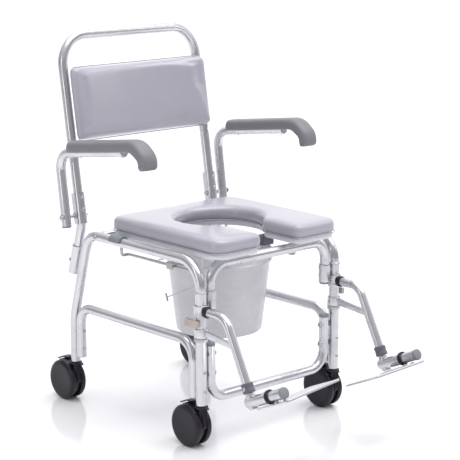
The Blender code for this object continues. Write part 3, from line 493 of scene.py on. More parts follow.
def leathery(name, colour):
    """The grained skin that moulded foam grows against its tool."""
    look = Finish(name, Coat_Weight=0.08, Coat_Roughness=0.35)
    hide = look.cells(look.place(), 620.0, "SMOOTH_F1")
    fine = look.noise(look.place(), 2600.0, 2.0)
    rubbed = look.noise(look.place(), 22.0, 4.0).clipped(0.48, 0.72)
    paler = tuple(1.18 * c for c in colour)
    shade = look.blend(rubbed * 0.5 + hide * 0.25, colour, paler)
    return look.wire(shade, hide * 0.14 + (rubbed * -0.08 + 0.44), hide * 0.8 + fine * 0.2, 0.0002, 0.6)


ALUMINIUM = drawn_aluminium("satin_drawn_aluminium")
PLATE = drawn_aluminium("brushed_plate", (0.72, 0.72, 0.74), (0.60, 0.60, 0.63), run=False, base=0.26)
ZINC = plain_zinc("zinc_plate")
VINYL = vinyl("grey_vinyl_skin")
ARM_SKIN = leathery("arm_pad_skin", (0.180, 0.178, 0.194))
BLACK = moulded("black_moulding", (0.008, 0.006, 0.011), 0.34, dust=0.05, Specular_IOR_Level=0.40)
TREAD = moulded("wheel_tread", (0.009, 0.006, 0.013), 0.36, 900.0, 0.0001, 0.06, Specular_IOR_Level=0.42)
COLLAR = moulded("dark_grey_moulding", (0.12, 0.12, 0.15), 0.42)
CAP_GREY = moulded("mid_grey_moulding", (0.22, 0.23, 0.26), 0.40)
BEIGE = moulded("beige_moulding", (0.50, 0.44, 0.38), 0.42)
BROWN = moulded("brown_button", (0.16, 0.10, 0.07), 0.35)
BOARD = moulded("board_white", (0.72, 0.72, 0.76), 0.38)
PAIL = moulded("pail_polymer", (0.70, 0.695, 0.73), 0.28, 1100.0, 0.00005, 0.07, Transmission_Weight=0.10)
LUG = moulded("lug_polymer", (0.64, 0.60, 0.61), 0.30, dust=0.1, Transmission_Weight=0.25)
print("finishes", len(bpy.data.materials))

# %% [markdown]
# ## The tube frame
# Each side frame is one tube: it meets the front leg, bends back along the seat rail and runs down the
# raked rear leg to its castor. A smaller bow joins the two legs lower down. All of it is drawn tube, bent
# on a former, so each piece is a circle carried along its bent centre line.

# %%
def swept_frame(side):
    """One side: seat rail with rear leg, front leg, and lower bow."""
    way = SIDES[side][0]
    x = way * SIDE_X
    knee = RAKE_TOP[1] - (REAR_Y - RAKE_TOP[0]) / RAKE
    tube(f"side_tube_{side}", [(x, FRONT_Y, LEG_TOP_Z + 0.0003), (x, FRONT_Y, RAIL_Z), (x, *RAKE_TOP),
                               (x, REAR_Y, knee), (x, REAR_Y, FOOT_Z)],
         (0.068, 0.055, 0.150), TUBE_R, ALUMINIUM, "frame", stands_for=[f"side_frame_{side}"])
    tube(f"front_tube_{side}", [(x, FRONT_Y, FOOT_Z), (x, FRONT_Y, LEG_TOP_Z)], (), LEG_R, ALUMINIUM,
         "frame", edge=0.0014, stands_for=[f"front_leg_{side}"])
    front = FRONT_Y + LEG_R + TUBE_R + 0.0003
    rear = REAR_Y - 2 * TUBE_R - 0.0022
    tube(f"lower_bow_{side}", [(x, front, 0.122), (x, front, ARCH_Z), (x, rear, ARCH_Z), (x, rear, 0.125)],
         (0.050, 0.045), TUBE_R, ALUMINIUM, "frame", stands_for=[f"lower_side_rail_{side}"])


for side in SIDES:
    swept_frame(side)
U_SIDE = (0, 1, 0)
tube("cross_bar", [(-INNER_X, INNER_Y, 0.253), (-INNER_X, INNER_Y, 0.117), (INNER_X, INNER_Y, 0.117),
                   (INNER_X, INNER_Y, 0.253)], (0.048, 0.048), TUBE_R, ALUMINIUM, "frame", U_SIDE,
     stands_for=["lower_cross_bar"])
tube("seat_arch", [(-INNER_X, INNER_Y, 0.340), (-INNER_X, INNER_Y, 0.447), (INNER_X, INNER_Y, 0.447),
                   (INNER_X, INNER_Y, 0.340)], (0.045, 0.045), TUBE_R, ALUMINIUM, "frame", U_SIDE,
     stands_for=["seat_front_arch"])
reach = SIDE_X - TUBE_R - 0.0003
tube("rear_cross", [(-reach, 0.130, RAIL_Z), (reach, 0.130, RAIL_Z)], (), 0.011, ALUMINIUM, "frame", U_SIDE,
     stands_for=["rear_cross_tube"])

# %% [markdown]
# ## Bolts, spacers and plugs of the frame
# The frame is bolted, not welded. Low domed heads show on the front of each front leg and on the inner
# sides of the two cross members, which stand off the legs on short spacers. Plugs close the upright ends
# of the lower cross bar, and a sleeve with two bolts holds each foot of the seat arch. A bolt is one
# turned profile: a washer, a dome and the socket in its middle.

# %%
def bolt_profile(size):
    """Washer, dome and socket of a button-head bolt, in shares of its head's radius."""
    shape = [(0.05, -0.30), (1.22, -0.30), (1.22, 0.16), (1.0, 0.16), (0.97, 0.42), (0.78, 0.72),
             (0.46, 0.84), (0.42, 0.84), (0.40, 0.40), (0.05, 0.36)]
    return np.array(shape) * size


def nut_profile(size):
    """Washer and domed lock nut."""
    shape = [(0.05, -0.30), (1.25, -0.30), (1.25, 0.14), (0.98, 0.14), (0.96, 0.80), (0.72, 1.05),
             (0.60, 1.25), (0.05, 1.28)]
    return np.array(shape) * size


def fixings(name, spots, look, body, profile=bolt_profile, count=28):
    """Many turned heads in one piece: each spot is a place, the way it faces and its head's radius."""
    grids = [turn_about(softened(profile(size), size * 0.09), place, axis, count)
             for place, axis, size in spots]
    return object_from(name, grids, look, body)


print("heads ready")

# %% [markdown]
# ### Fastening the frame
# The heads sit a fraction of a millimetre into the tube they hold, on its outer face. Spacers bridge the gap
# between each leg and the cross members.

# %%
for side, (way, word) in SIDES.items():
    leg_face = FRONT_Y - LEG_R
    inner_face = INNER_X - TUBE_R
    arch_back = FRONT_Y + LEG_R + 2 * TUBE_R + 0.0003
    rear_bow = REAR_Y - 2 * TUBE_R - 0.0022
    heads = [((way * SIDE_X, leg_face + 0.0006, z), (0, -1, 0), 0.0042) for z in (0.191, 0.144)]
    heads += [((way * SIDE_X, REAR_Y + TUBE_R - 0.0006, z), (0, 1, 0), 0.0042) for z in (0.195, 0.150)]
    heads += [((way * inner_face, INNER_Y, z), (-way, 0, 0), 0.0062) for z in (0.230, 0.180)]
    heads += [((way * (INNER_X - 0.0148), INNER_Y, z), (-way, 0, 0), 0.0040) for z in (0.381, 0.360)]
    heads += [((way * (SIDE_X + TUBE_R - 0.0006), 0.130, RAIL_Z - 0.0005), (way, 0, 0), 0.0048)]
    fixings(f"frame_bolts_{side}", heads, ZINC, "frame")
    nuts = [((way * SIDE_X, arch_back - 0.0006, z), (0, 1, 0), 0.0040) for z in (0.191, 0.144)]
    nuts += [((way * SIDE_X, rear_bow - TUBE_R + 0.0006, z), (0, -1, 0), 0.0040) for z in (0.195, 0.150)]
    fixings(f"frame_nuts_{side}", nuts, ZINC, "frame", nut_profile)
    gap_in = INNER_X + TUBE_R - 0.002
    gap_out = SIDE_X - LEG_R + 0.002
    spacer = softened([(0.0004, gap_in), (0.0062, gap_in), (0.0062, gap_out), (0.0004, gap_out)])
    spacers = [turn_about(spacer, (0, INNER_Y - 0.002, z), (way, 0, 0), 28)
               for z in (0.230, 0.180, 0.381, 0.360)]
    object_from(f"leg_spacers_{side}", spacers, COLLAR, "frame")
    lathe(f"cross_bar_plug_{side}", [(0.0004, -0.004), (0.0124, -0.004), (0.0129, -0.0005), (0.0129, 0.0022),
                                     (0.0105, 0.0048), (0.0004, 0.0056)], (way * INNER_X, INNER_Y, 0.253),
          (0, 0, 1), CAP_GREY, "frame", soft=0.0010)
    sleeve = [(TUBE_R - 0.0004, 0.342), (0.0144, 0.342), (0.0150, 0.345), (0.0150, 0.385), (0.0144, 0.3885),
              (TUBE_R - 0.0004, 0.3885)]
    lathe(f"arch_sleeve_{side}", sleeve, (way * INNER_X, INNER_Y, 0), (0, 0, 1), ALUMINIUM, "frame",
          ring=True)
    lathe(f"arch_foot_plug_{side}", [(0.0004, 0.3365), (0.0110, 0.3365), (0.0126, 0.3385), (0.0126, 0.3420),
                                     (0.0004, 0.3420)], (way * INNER_X, INNER_Y, 0), (0, 0, 1), CAP_GREY,
          "frame", soft=0.0010)
    step = [(0.0126, 0.3835), (0.0146, 0.3835), (0.0146, 0.3868), (0.0134, 0.3885), (0.0126, 0.3888)]
    lathe(f"leg_step_{side}", step, (way * SIDE_X, FRONT_Y, 0), (0, 0, 1), ZINC, "frame", ring=True,
          soft=0.0005)
    collar = [(LEG_R + 0.0004, 0.2665), (0.0172, 0.2665), (0.0172, 0.2755), (LEG_R + 0.0004, 0.2755)]
    lathe(f"thrust_ring_{side}", collar, (way * SIDE_X, FRONT_Y, 0), (0, 0, 1), ZINC, "frame", ring=True,
          soft=0.0010, stands_for=[f"leg_collar_{side}"])
print("fixings ready")

# %% [markdown]
# ## The pail's rails and the sockets for the back
# The pail hangs by its ears on two bent rods. Behind each raked leg sits a short sleeve that takes the
# foot of the backrest: an open tube with a rolled rim, held to the leg by a saddle, with a sprung button
# that locks the post.

# %%
def socket_y(z):
    """Where the sockets' sloping line is at a height."""
    return KINK[0] + RAKE * (KINK[1] - z)


SOCKET_AXIS = unit([0, -RAKE, 1])
for side, (way, word) in SIDES.items():
    rods = [(way * 0.155, INNER_Y + TUBE_R + 0.0003, 0.447), (way * 0.155, -0.187, 0.447),
            (way * 0.155, -0.187, 0.406), (way * 0.155, 0.098, 0.406), (way * 0.178, 0.098, 0.406),
            (way * 0.178, 0.098, RAIL_Z), (way * 0.178, 0.130 - 0.011 - 0.0003, RAIL_Z)]
    tube(f"pail_rod_{side}", rods, [0.008] * 5, 0.004, ZINC, "frame", (0.62, 0.48, -0.62), 20, 0.0004,
         stands_for=[f"pail_rail_{side}"])
    rim = np.array([way * POST_X, socket_y(0.420), 0.420])
    sleeve = [(0.0134, -0.078), (0.0152, -0.078), (0.0152, -0.006), (0.0162, -0.0045), (0.0162, 0.0),
              (0.0134, 0.0)]
    lathe(f"socket_sleeve_{side}", sleeve, rim, SOCKET_AXIS, ALUMINIUM, "frame", ring=True, soft=0.0008)
    button = rim - SOCKET_AXIS * 0.0435 + unit([way * 0.75, 0.65, 0.185]) * 0.0140
    lathe(f"socket_button_{side}", [(0.0004, -0.001), (0.0052, -0.001), (0.0052, 0.0016), (0.0038, 0.0030),
                                    (0.0004, 0.0036)], button, [way * 0.75, 0.65, 0.185], BROWN, "frame",
          soft=0.0008)
    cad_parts[f"back_socket_{side}"].data.materials[0] = ALUMINIUM
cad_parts["retaining_wire"].data.materials[0] = ZINC
print("rails and sockets ready")

# %% [markdown]
# ## The backrest's tube and the arm brackets
# The back is one hoop: up from the left socket, over the top and down into the right one. The hoop leans
# back above the seat and follows the socket's slope below it. A folded channel grips each post where the
# arm pivots.

# %%
def post_y(z):
    """Where the leaning post's centre line is at a height."""
    return KINK[0] + LEAN * (z - KINK[1])


FOOT = (socket_y(0.352), 0.352)
TOP = (post_y(0.949), 0.949)
tube("back_hoop", [(-POST_X, *FOOT), (-POST_X, *KINK), (-POST_X, *TOP), (POST_X, *TOP), (POST_X, *KINK),
                   (POST_X, *FOOT)], (0.080, 0.078, 0.078, 0.080), TUBE_R, ALUMINIUM, "backrest",
     (0, 1, -LEAN), stands_for=["back_frame"])
LEANING = unit([0, LEAN, 1])
for side, (way, word) in SIDES.items():
    half = TUBE_R + 0.0003
    outer = half + 0.0022
    a = np.linspace(0, math.pi, 25)
    front_out = np.stack([outer * np.cos(a), -0.0015 - outer * np.sin(a)], -1)
    front_in = np.stack([half * np.cos(a[::-1]), -0.0015 - half * np.sin(a[::-1])], -1)
    outline = np.concatenate([[[outer, 0.0095]], front_out, [[-outer, 0.0095], [-half, 0.0095]], front_in,
                              [[half, 0.0095]]])
    low, high = (np.array([way * POST_X, post_y(z), z]) for z in (0.479, 0.557))
    channel = carry([low, low + LEANING * 0.001, high - LEANING * 0.001, high], outline)
    object_from(f"arm_channel_{side}", [channel], ALUMINIUM, "backrest", stands_for=[f"arm_bracket_{side}"])
    screws = [((way * POST_X, post_y(z) - 0.0158, z), (0, -1, 0.1), 0.0040) for z in (0.546, 0.5165)]
    fixings(f"channel_screws_{side}", screws, ZINC, "backrest")
    pivot = [(0.0004, 0.2030), (0.0066, 0.2030), (0.0066, 0.2066), (0.0040, 0.2070), (0.0040, 0.2792),
             (0.0078, 0.2792), (0.0078, 0.2812), (0.0060, 0.2816), (0.0056, 0.2845), (0.0034, 0.2858),
             (0.0030, 0.2845), (0.0004, 0.2843)]
    lathe(f"pivot_bolt_{side}", pivot, (0, *PIVOT), (way, 0, 0), ZINC, "backrest", 32, 0.0004,
          stands_for=[f"arm_pivot_bolt_{side}"])
    washer = np.array([(0.0042, 0), (0.0078, 0), (0.0078, 0.0014), (0.0042, 0.0014)])
    washers = [turn_about(softened(washer + [0, x], 0.0003), (0, *PIVOT), (way, 0, 0), 28)
               for x in (0.2378, 0.2398)]
    object_from(f"pivot_washers_{side}", washers, ZINC, "backrest")
print("backrest tube ready")

# %% [markdown]
# ## The armrests
# Each arm is a tube that rises beside the post and turns forward. Its pad is foam moulded with its own
# skin: a deep soft channel over the tube, thick at the sides, that curls down over the front as a hand
# grip. The section is a flattened ellipse above and a groove below, and it shrinks a little at both ends,
# as a moulding does.

# %%
def arm_z(y):
    """Height of the arm tube's centre line, which rises gently towards the front."""
    return ARM_CORNER[1] + ARM_RISE * (ARM_CORNER[0] - y)


def arm_section(wide, high, groove=0.0129, lip=0.0015):
    """A dome, x = w sgn(cos) |cos|^(2/n) and z = h sin^(2/n) with n = 3.4, then the groove's arc."""
    a = np.linspace(0, math.pi, 41)
    dome = np.stack([wide * np.sign(np.cos(a)) * np.abs(np.cos(a)) ** (2 / 3.4),
                     lip + 0.004 + (high - lip - 0.004) * np.sin(a) ** (2 / 3.4)], -1)
    b = np.linspace(0, math.pi, 21)
    hollow = np.stack([-groove * np.cos(b), lip + groove * np.sin(b)], -1)
    roll = [[-wide + 0.0006, lip + 0.0016], [-wide + 0.0030, lip]]
    return np.concatenate([dome, roll, hollow, [[wide - 0.0030, lip], [wide - 0.0006, lip + 0.0016]]])


for side, (way, word) in SIDES.items():
    x = way * ARM_X
    body = f"arm_{word}"
    foot_y = PIVOT[0] + 0.002 + 0.14 * (0.476 - PIVOT[1])
    tube(f"arm_bar_{side}", [(x, foot_y, 0.476), (x, *ARM_CORNER), (x, -0.030, arm_z(-0.030))], (0.045,),
         TUBE_R, ALUMINIUM, body, stands_for=[f"arm_tube_{side}"])
    rise = math.atan(ARM_RISE)
    above = np.array([0, math.sin(rise), math.cos(rise)])
    rear = np.array([x, 0.172, arm_z(0.172)])
    line = rounded_path([rear, (x, -0.078, arm_z(-0.078)), (x, -0.1075, 0.6860), (x, -0.1105, 0.6630)],
                        [0.034, 0.016])
    far = np.concatenate([[0], np.cumsum(np.linalg.norm(np.diff(line, axis=0), axis=1))])
    spots = np.concatenate([[0, 0.0008, 0.0025, 0.0055], np.linspace(0.012, far[-1] - 0.010, 70),
                            far[-1] - np.array([0.0070, 0.0042, 0.0020, 0.0006, 0.0])])
    path = np.stack([np.interp(spots, far, line[:, k]) for k in range(3)], -1)
    left = (far[-1] - spots) / 0.060
    grow = np.minimum(np.sqrt(np.clip(spots / 0.006, 0, 1) * 0.3 + 0.7), 1)
    grow = np.minimum(grow, np.sqrt(np.clip((far[-1] - spots) / 0.005, 0, 1) * 0.35 + 0.65))
    taper = 1 - 0.26 * np.clip(1 - left, 0, 1) ** 1.3
    waist = 1 - 0.035 * np.sin(math.pi * spots / far[-1]) ** 2 - 0.06 * np.clip(1 - left, 0, 1)
    section = np.stack([arm_section(0.0266 * g * w, 0.0300 * t * (0.35 + 0.65 * g))
                        for g, w, t in zip(grow, waist, taper)])
    grid = carry(path, section)
    if grid[:, 20, 2].mean() < grid[:, 50, 2].mean():
        grid = carry(path, section * [1, -1])
    pad = object_from(f"arm_rest_{side}", [grid], ARM_SKIN, body, sharp=60, stands_for=[f"arm_pad_{side}"])
    foot_plug = [(0.0004, -0.0035), (0.0105, -0.0030), (0.0126, -0.0008), (0.0126, 0.0015), (0.0118, 0.003),
                 (0.0004, 0.003)]
    lathe(f"arm_plug_{side}", foot_plug, (x, foot_y, 0.476), unit([0, 0.14, 1]), CAP_GREY, body)
    under = [((x, y, arm_z(y) - TUBE_R + 0.0004), -above, 0.0027) for y in (0.145, -0.022)]
    fixings(f"arm_screws_{side}", under, ZINC, body)
print("armrests ready")

# %% [markdown]
# ## Cushions
# Both cushions are foam on a board under a stretched vinyl cover. The cover is a skin under a little
# pressure, so each cushion starts a few millimetres small and Blender's cloth swells it, with gravity
# off. How far a point may move is capped, and the side that lies on its board stays flat.

# %%
def swell(obj, travel, hold=None, pressure=4.0, frames=20):
    """Cloth under pressure, then each point's move m becomes m * tanh(|m| / travel) * travel / |m|."""
    mesh = obj.data
    count = len(mesh.vertices)
    rest = np.empty(count * 3, np.float32)
    mesh.vertices.foreach_get("co", rest)
    rest = rest.reshape(-1, 3)
    cloth = obj.modifiers.new("cloth", "CLOTH")
    cloth.settings.quality = 6
    cloth.settings.use_pressure = True
    cloth.settings.uniform_pressure_force = pressure
    cloth.settings.effector_weights.gravity = 0.0
    cloth.settings.tension_stiffness = 15
    cloth.settings.compression_stiffness = 15
    cloth.settings.bending_stiffness = 0.6
    cloth.point_cache.frame_end = frames
    for step in range(1, frames + 1):
        bpy.context.scene.frame_set(step)
    solved = obj.evaluated_get(bpy.context.evaluated_depsgraph_get())
    shaped = np.empty(count * 3, np.float32)
    solved.data.vertices.foreach_get("co", shaped)
    obj.modifiers.remove(cloth)
    bpy.context.scene.frame_set(1)
    move = shaped.reshape(-1, 3) - rest
    size = np.maximum(np.linalg.norm(move, axis=1, keepdims=True), 1e-9)
    move = move * np.tanh(size / travel) * travel / size
    if hold is not None:
        move = move * hold(rest)
    mesh.vertices.foreach_set("co", (rest + move).astype(np.float32).ravel())
    mesh.update()
    print(obj.name, "swelled by up to", round(float(np.linalg.norm(move, axis=1).max()) * 1000, 1), "mm")


def smoothed(obj, levels, smooth=0):
    """A few passes of smoothing, then subdivision, both applied later by the renderer as modifiers."""
    if smooth:
        ease = obj.modifiers.new("ease", "SMOOTH")
        ease.factor = 0.5
        ease.iterations = smooth
    finer = obj.modifiers.new("finer", "SUBSURF")
    finer.levels = levels
    finer.render_levels = levels
    obj.data.shade_smooth()


# %% [markdown]
# ### The seat
# A flat horseshoe of foam about 38 mm thick. The round opening leads to the front through a slot, for
# access. Its edges are rolled over and the cover is tucked under, onto a white board that shows as a thin
# line. The skin is made as a slab with rolled rims, remeshed into even squares so that cloth can work on
# it, and swelled.

# %%
SEAT_HALF, SEAT_REAR, SEAT_FRONT = 0.210, 0.118, -0.300
HOLE_R, HOLE_Y, SLOT_HALF = 0.108, -0.074, 0.056


def horseshoe(inset, corner=0.034, mouth=0.018):
    """The seat's outline drawn in by inset: a rounded rectangle whose hole opens forward by a slot."""
    half, front, rear = SEAT_HALF - inset, SEAT_FRONT + inset, SEAT_REAR - inset
    radius, slot = HOLE_R + inset, SLOT_HALF + inset
    lead = math.acos(slot / radius)
    angle = np.linspace(math.pi + lead, -lead, 64)[2:-2]
    join = HOLE_Y - radius * math.sin(lead)
    throat = [(radius * math.cos(t), HOLE_Y + radius * math.sin(t), 0) for t in angle]
    return outline_of([(slot, front, mouth), (half, front, corner), (half, rear, corner),
                       (-half, rear, corner), (-half, front, corner), (-slot, front, mouth),
                       (-slot, join, 0.030), *throat, (slot, join, 0.030)], 12)


seat = object_from("seat_cushion", [slab_grid(horseshoe(0.0022), 0.4748, 0.5104, 0.0135, 6)], VINYL, "seat",
                   stands_for=["seat_pad"])
bpy.context.view_layer.objects.active = seat
seat.data.remesh_voxel_size = 0.0050
seat.data.remesh_voxel_adaptivity = 0.0
seat.select_set(True)
bpy.ops.object.voxel_remesh()
seat.select_set(False)
print("seat skin", len(seat.data.vertices))


def seat_hold(rest):
    """0 on the underside, 1 from half way up, and the move stays inside the outline's small allowance."""
    up = np.clip((rest[:, 2] - 0.476) / 0.018, 0, 1)[:, None]
    return up * up * (3 - 2 * up)


SEAT_TRAVEL, BACK_TRAVEL = 0.0026, 0.0040
swell(seat, SEAT_TRAVEL, seat_hold)
smoothed(seat, 1, 6)
seat.data.materials[0] = VINYL


def ring_path(outline, z):
    """A closed outline as a path at one height, its first point repeated at the end."""
    flat = np.concatenate([outline, outline[:1]])
    return np.concatenate([flat, np.full((len(flat), 1), z)], 1)


welt = carry(ring_path(horseshoe(0.0030), 0.4768), circle(0.0016, 10), (0, 0, 1))[:-1]
object_from("seat_welt", [welt], VINYL, "seat", close_rows=True)
object_from("seat_base", [slab_grid(horseshoe(0.0070), 0.4625, 0.4735, 0.0016, 3)], BOARD, "seat",
            stands_for=["seat_board"])
for side, (way, word) in SIDES.items():
    a = np.linspace(0, math.pi, 33)
    saddle = np.concatenate([np.stack([0.0164 * np.cos(a), 0.0164 * np.sin(a)], -1),
                             np.stack([0.0130 * np.cos(a[::-1]), 0.0130 * np.sin(a[::-1])], -1)])
    ends = [np.array([way * SIDE_X, y, RAIL_Z]) for y in (0.030, 0.031, 0.071, 0.072)]
    grid = carry(ends, saddle)
    if grid[1, 16, 2] < RAIL_Z:
        grid = carry(ends, saddle * [1, -1])
    object_from(f"rail_clip_{side}", [grid], CAP_GREY, "seat", stands_for=[f"seat_clip_{side}"])
    # Under each side of the seat board's opening, by the slot, a dark grey block is painted shade: it stands
    # for the shadowed inside of the board seen through the slot.
    shade_block_outline = rectangle(way * 0.066, way * 0.102, -0.168, -0.138, 0.004)
    object_from(f"painted_shade_block_{side}", [slab_grid(shade_block_outline, 0.4380, 0.4622, 0.0025)], COLLAR, "seat")
print("seat ready")

# %% [markdown]
# ### The back cushion
# A slim pad curved to the shoulders and set in front of the hoop. Its section is a rounded bar, carried
# along a parabola from post to post, with its ends drawn in over the last centimetre. The rows are close
# enough for cloth. After swelling, a fine seam runs round the rear edge where front and rear covers are
# welded together.

# %%
BACK_MID_Z, BACK_HEIGHT, BACK_THICK, BACK_HALF = 0.7765, 0.190, 0.032, 0.2215
AHEAD = unit(np.cross(LEANING, [1, 0, 0]) * (-1 if np.cross(LEANING, [1, 0, 0])[1] > 0 else 1))


def bar_section(high, thick, corner, count=16):
    """Closed outline of a rounded bar, evenly spaced, as (up, ahead) pairs."""
    h, t = high / 2, thick / 2
    loop = outline_of([(-h, -t, corner), (h, -t, corner), (h, t, corner), (-h, t, corner)], 6)
    loop = np.concatenate([loop, loop[:1]])
    far = np.concatenate([[0], np.cumsum(np.linalg.norm(np.diff(loop, axis=0), axis=1))])
    spots = np.linspace(0, far[-1], count, endpoint=False)
    return np.stack([np.interp(spots, far, loop[:, 0]), np.interp(spots, far, loop[:, 1])], -1)


share = np.concatenate([[-1, -0.998, -0.993, -0.984, -0.972, -0.957, -0.940], np.linspace(-0.92, 0.92, 66),
                        [0.940, 0.957, 0.972, 0.984, 0.993, 0.998, 1]])
edge = np.clip((1 - np.abs(share)) / 0.085, 0, 1)
draw_in = np.sqrt(1 - (1 - edge) ** 2)
middle = np.array([0, post_y(BACK_MID_Z), BACK_MID_Z])
line = (middle + np.outer(share * BACK_HALF, [1, 0, 0])
        + np.outer(0.0335 - 0.024 * (1 - share ** 2), AHEAD))
sections = np.stack([bar_section(BACK_HEIGHT - 0.004 - 0.036 * (1 - d), 0.0035 + (BACK_THICK - 0.0065) * d,
                                 0.0017 + 0.0125 * d, 84) for d in draw_in])
back = object_from("back_pad", [carry(line, sections, LEANING)], VINYL, "backrest", sharp=80,
                   stands_for=["back_cushion"])


def back_hold(rest):
    """Less swell behind, where the pad is stapled to its board."""
    local = rest - SHIFT
    depth = (local - middle) @ AHEAD - (0.0335 - 0.024 * (1 - (local[:, 0] / BACK_HALF) ** 2))
    return 0.25 + 0.75 * np.clip(depth / 0.010 + 0.5, 0, 1)[:, None]


swell(back, BACK_TRAVEL, back_hold)
smoothed(back, 1, 2)
seam_up = bar_section(BACK_HEIGHT - 0.0030, 2 * BACK_HALF - 0.0040, 0.018, 240)
seam_x = seam_up[:, 1]
seam_line = (middle + np.outer(seam_x, [1, 0, 0]) + np.outer(seam_up[:, 0], LEANING)
             + np.outer(0.0335 - 0.024 * (1 - (seam_x / BACK_HALF) ** 2) - 0.0085, AHEAD))
seam_line = np.concatenate([seam_line, seam_line[:1]])
object_from("back_seam", [carry(seam_line, circle(0.0014, 10), AHEAD)[:-1]], VINYL, "backrest",
            close_rows=True)
print("back ready")

# %% [markdown]
# ## The pail
# A blow-moulded polypropylene bucket: thin, a little milky, with a rolled double rim and two ears that
# rest on the rods. The wire bail lies back round the rim. The body is one turned profile, outside and
# inside.

# %%
PAIL_PROFILE = [(0.0006, 0.2222), (0.088, 0.2222), (0.092, 0.2186), (0.100, 0.2186), (0.1075, 0.2215),
                (0.1103, 0.2330), (0.1280, 0.3850), (0.1290, 0.3990), (0.1338, 0.4005), (0.1340, 0.4060),
                (0.1312, 0.4085), (0.1312, 0.4215), (0.1340, 0.4235), (0.1340, 0.4285), (0.1325, 0.4300),
                (0.1285, 0.4300), (0.1270, 0.4270), (0.1262, 0.3980), (0.1250, 0.3850), (0.1075, 0.2350),
                (0.1045, 0.2262), (0.098, 0.2240), (0.0006, 0.2252)]
lathe("pail_body", PAIL_PROFILE, (0, PAIL_Y, 0), (0, 0, 1), PAIL, "pail", 112, 0.0022, stands_for=["pail"])
for side, (way, word) in SIDES.items():
    ear = outline_of([(way * 0.1300, PAIL_Y - 0.016, 0.002), (way * 0.165, PAIL_Y - 0.015, 0.006),
                      (way * 0.165, PAIL_Y + 0.015, 0.006), (way * 0.1300, PAIL_Y + 0.016, 0.002)])
    hook = rectangle(way * 0.1600, way * 0.1650, PAIL_Y - 0.011, PAIL_Y + 0.011, 0.0015)
    object_from(f"pail_ear_{side}", [slab_grid(ear, 0.4103, 0.4155, 0.0016),
                                     slab_grid(hook, 0.3985, 0.4120, 0.0012)], LUG, "pail")
a = np.linspace(0, math.pi, 73)
reach = 0.146 * np.sin(a)
drop = math.radians(18)
wire = np.stack([0.146 * np.cos(a), PAIL_Y + 0.0175 + reach * math.cos(drop),
                 0.424 - reach * math.sin(drop)], -1)
object_from("bail_wire", [carry(wire, circle(0.0022, 16), (0, 0.31, 0.95))], ZINC, "bail",
            stands_for=["pail_bail"])
print("pail ready")

# %% [markdown]
# ## The swing-away footrests
# A moulded ring turns on the front leg and grips the end of a bent tube. A second ring with a flat arm
# steadies it. The footrest's rod slides inside and a clamp collar holds its height. At the bottom a
# barrel runs forward, and the plate hangs from it by a turning sleeve with an end plug.

# %%
def hanger_point(s, x):
    """A point s below the collar's upper edge, on the sloping tube's axis."""
    mark_y, mark_z = HANGER_MARK
    return np.array([x, mark_y - s * math.sin(HANGER_LEAN), mark_z - s * math.cos(HANGER_LEAN)])


HANGER_AXIS = np.array([0, -math.sin(HANGER_LEAN), -math.cos(HANGER_LEAN)])
BARREL_AXIS = np.array([0, -math.cos(BARREL_TILT), math.sin(BARREL_TILT)])
PLATE_REST = {"R": 5.0, "L": -2.0}  # degrees that each plate is raised at its inner edge
STUD_R = 0.0045


def turned_about(points, centre, axis, angle):
    """Rodrigues' turn of points about an axis through centre."""
    k = unit(axis)
    v = points - centre
    c, s = math.cos(angle), math.sin(angle)
    return centre + v * c + np.cross(k, v) * s + k * (v @ k)[..., None] * (1 - c)


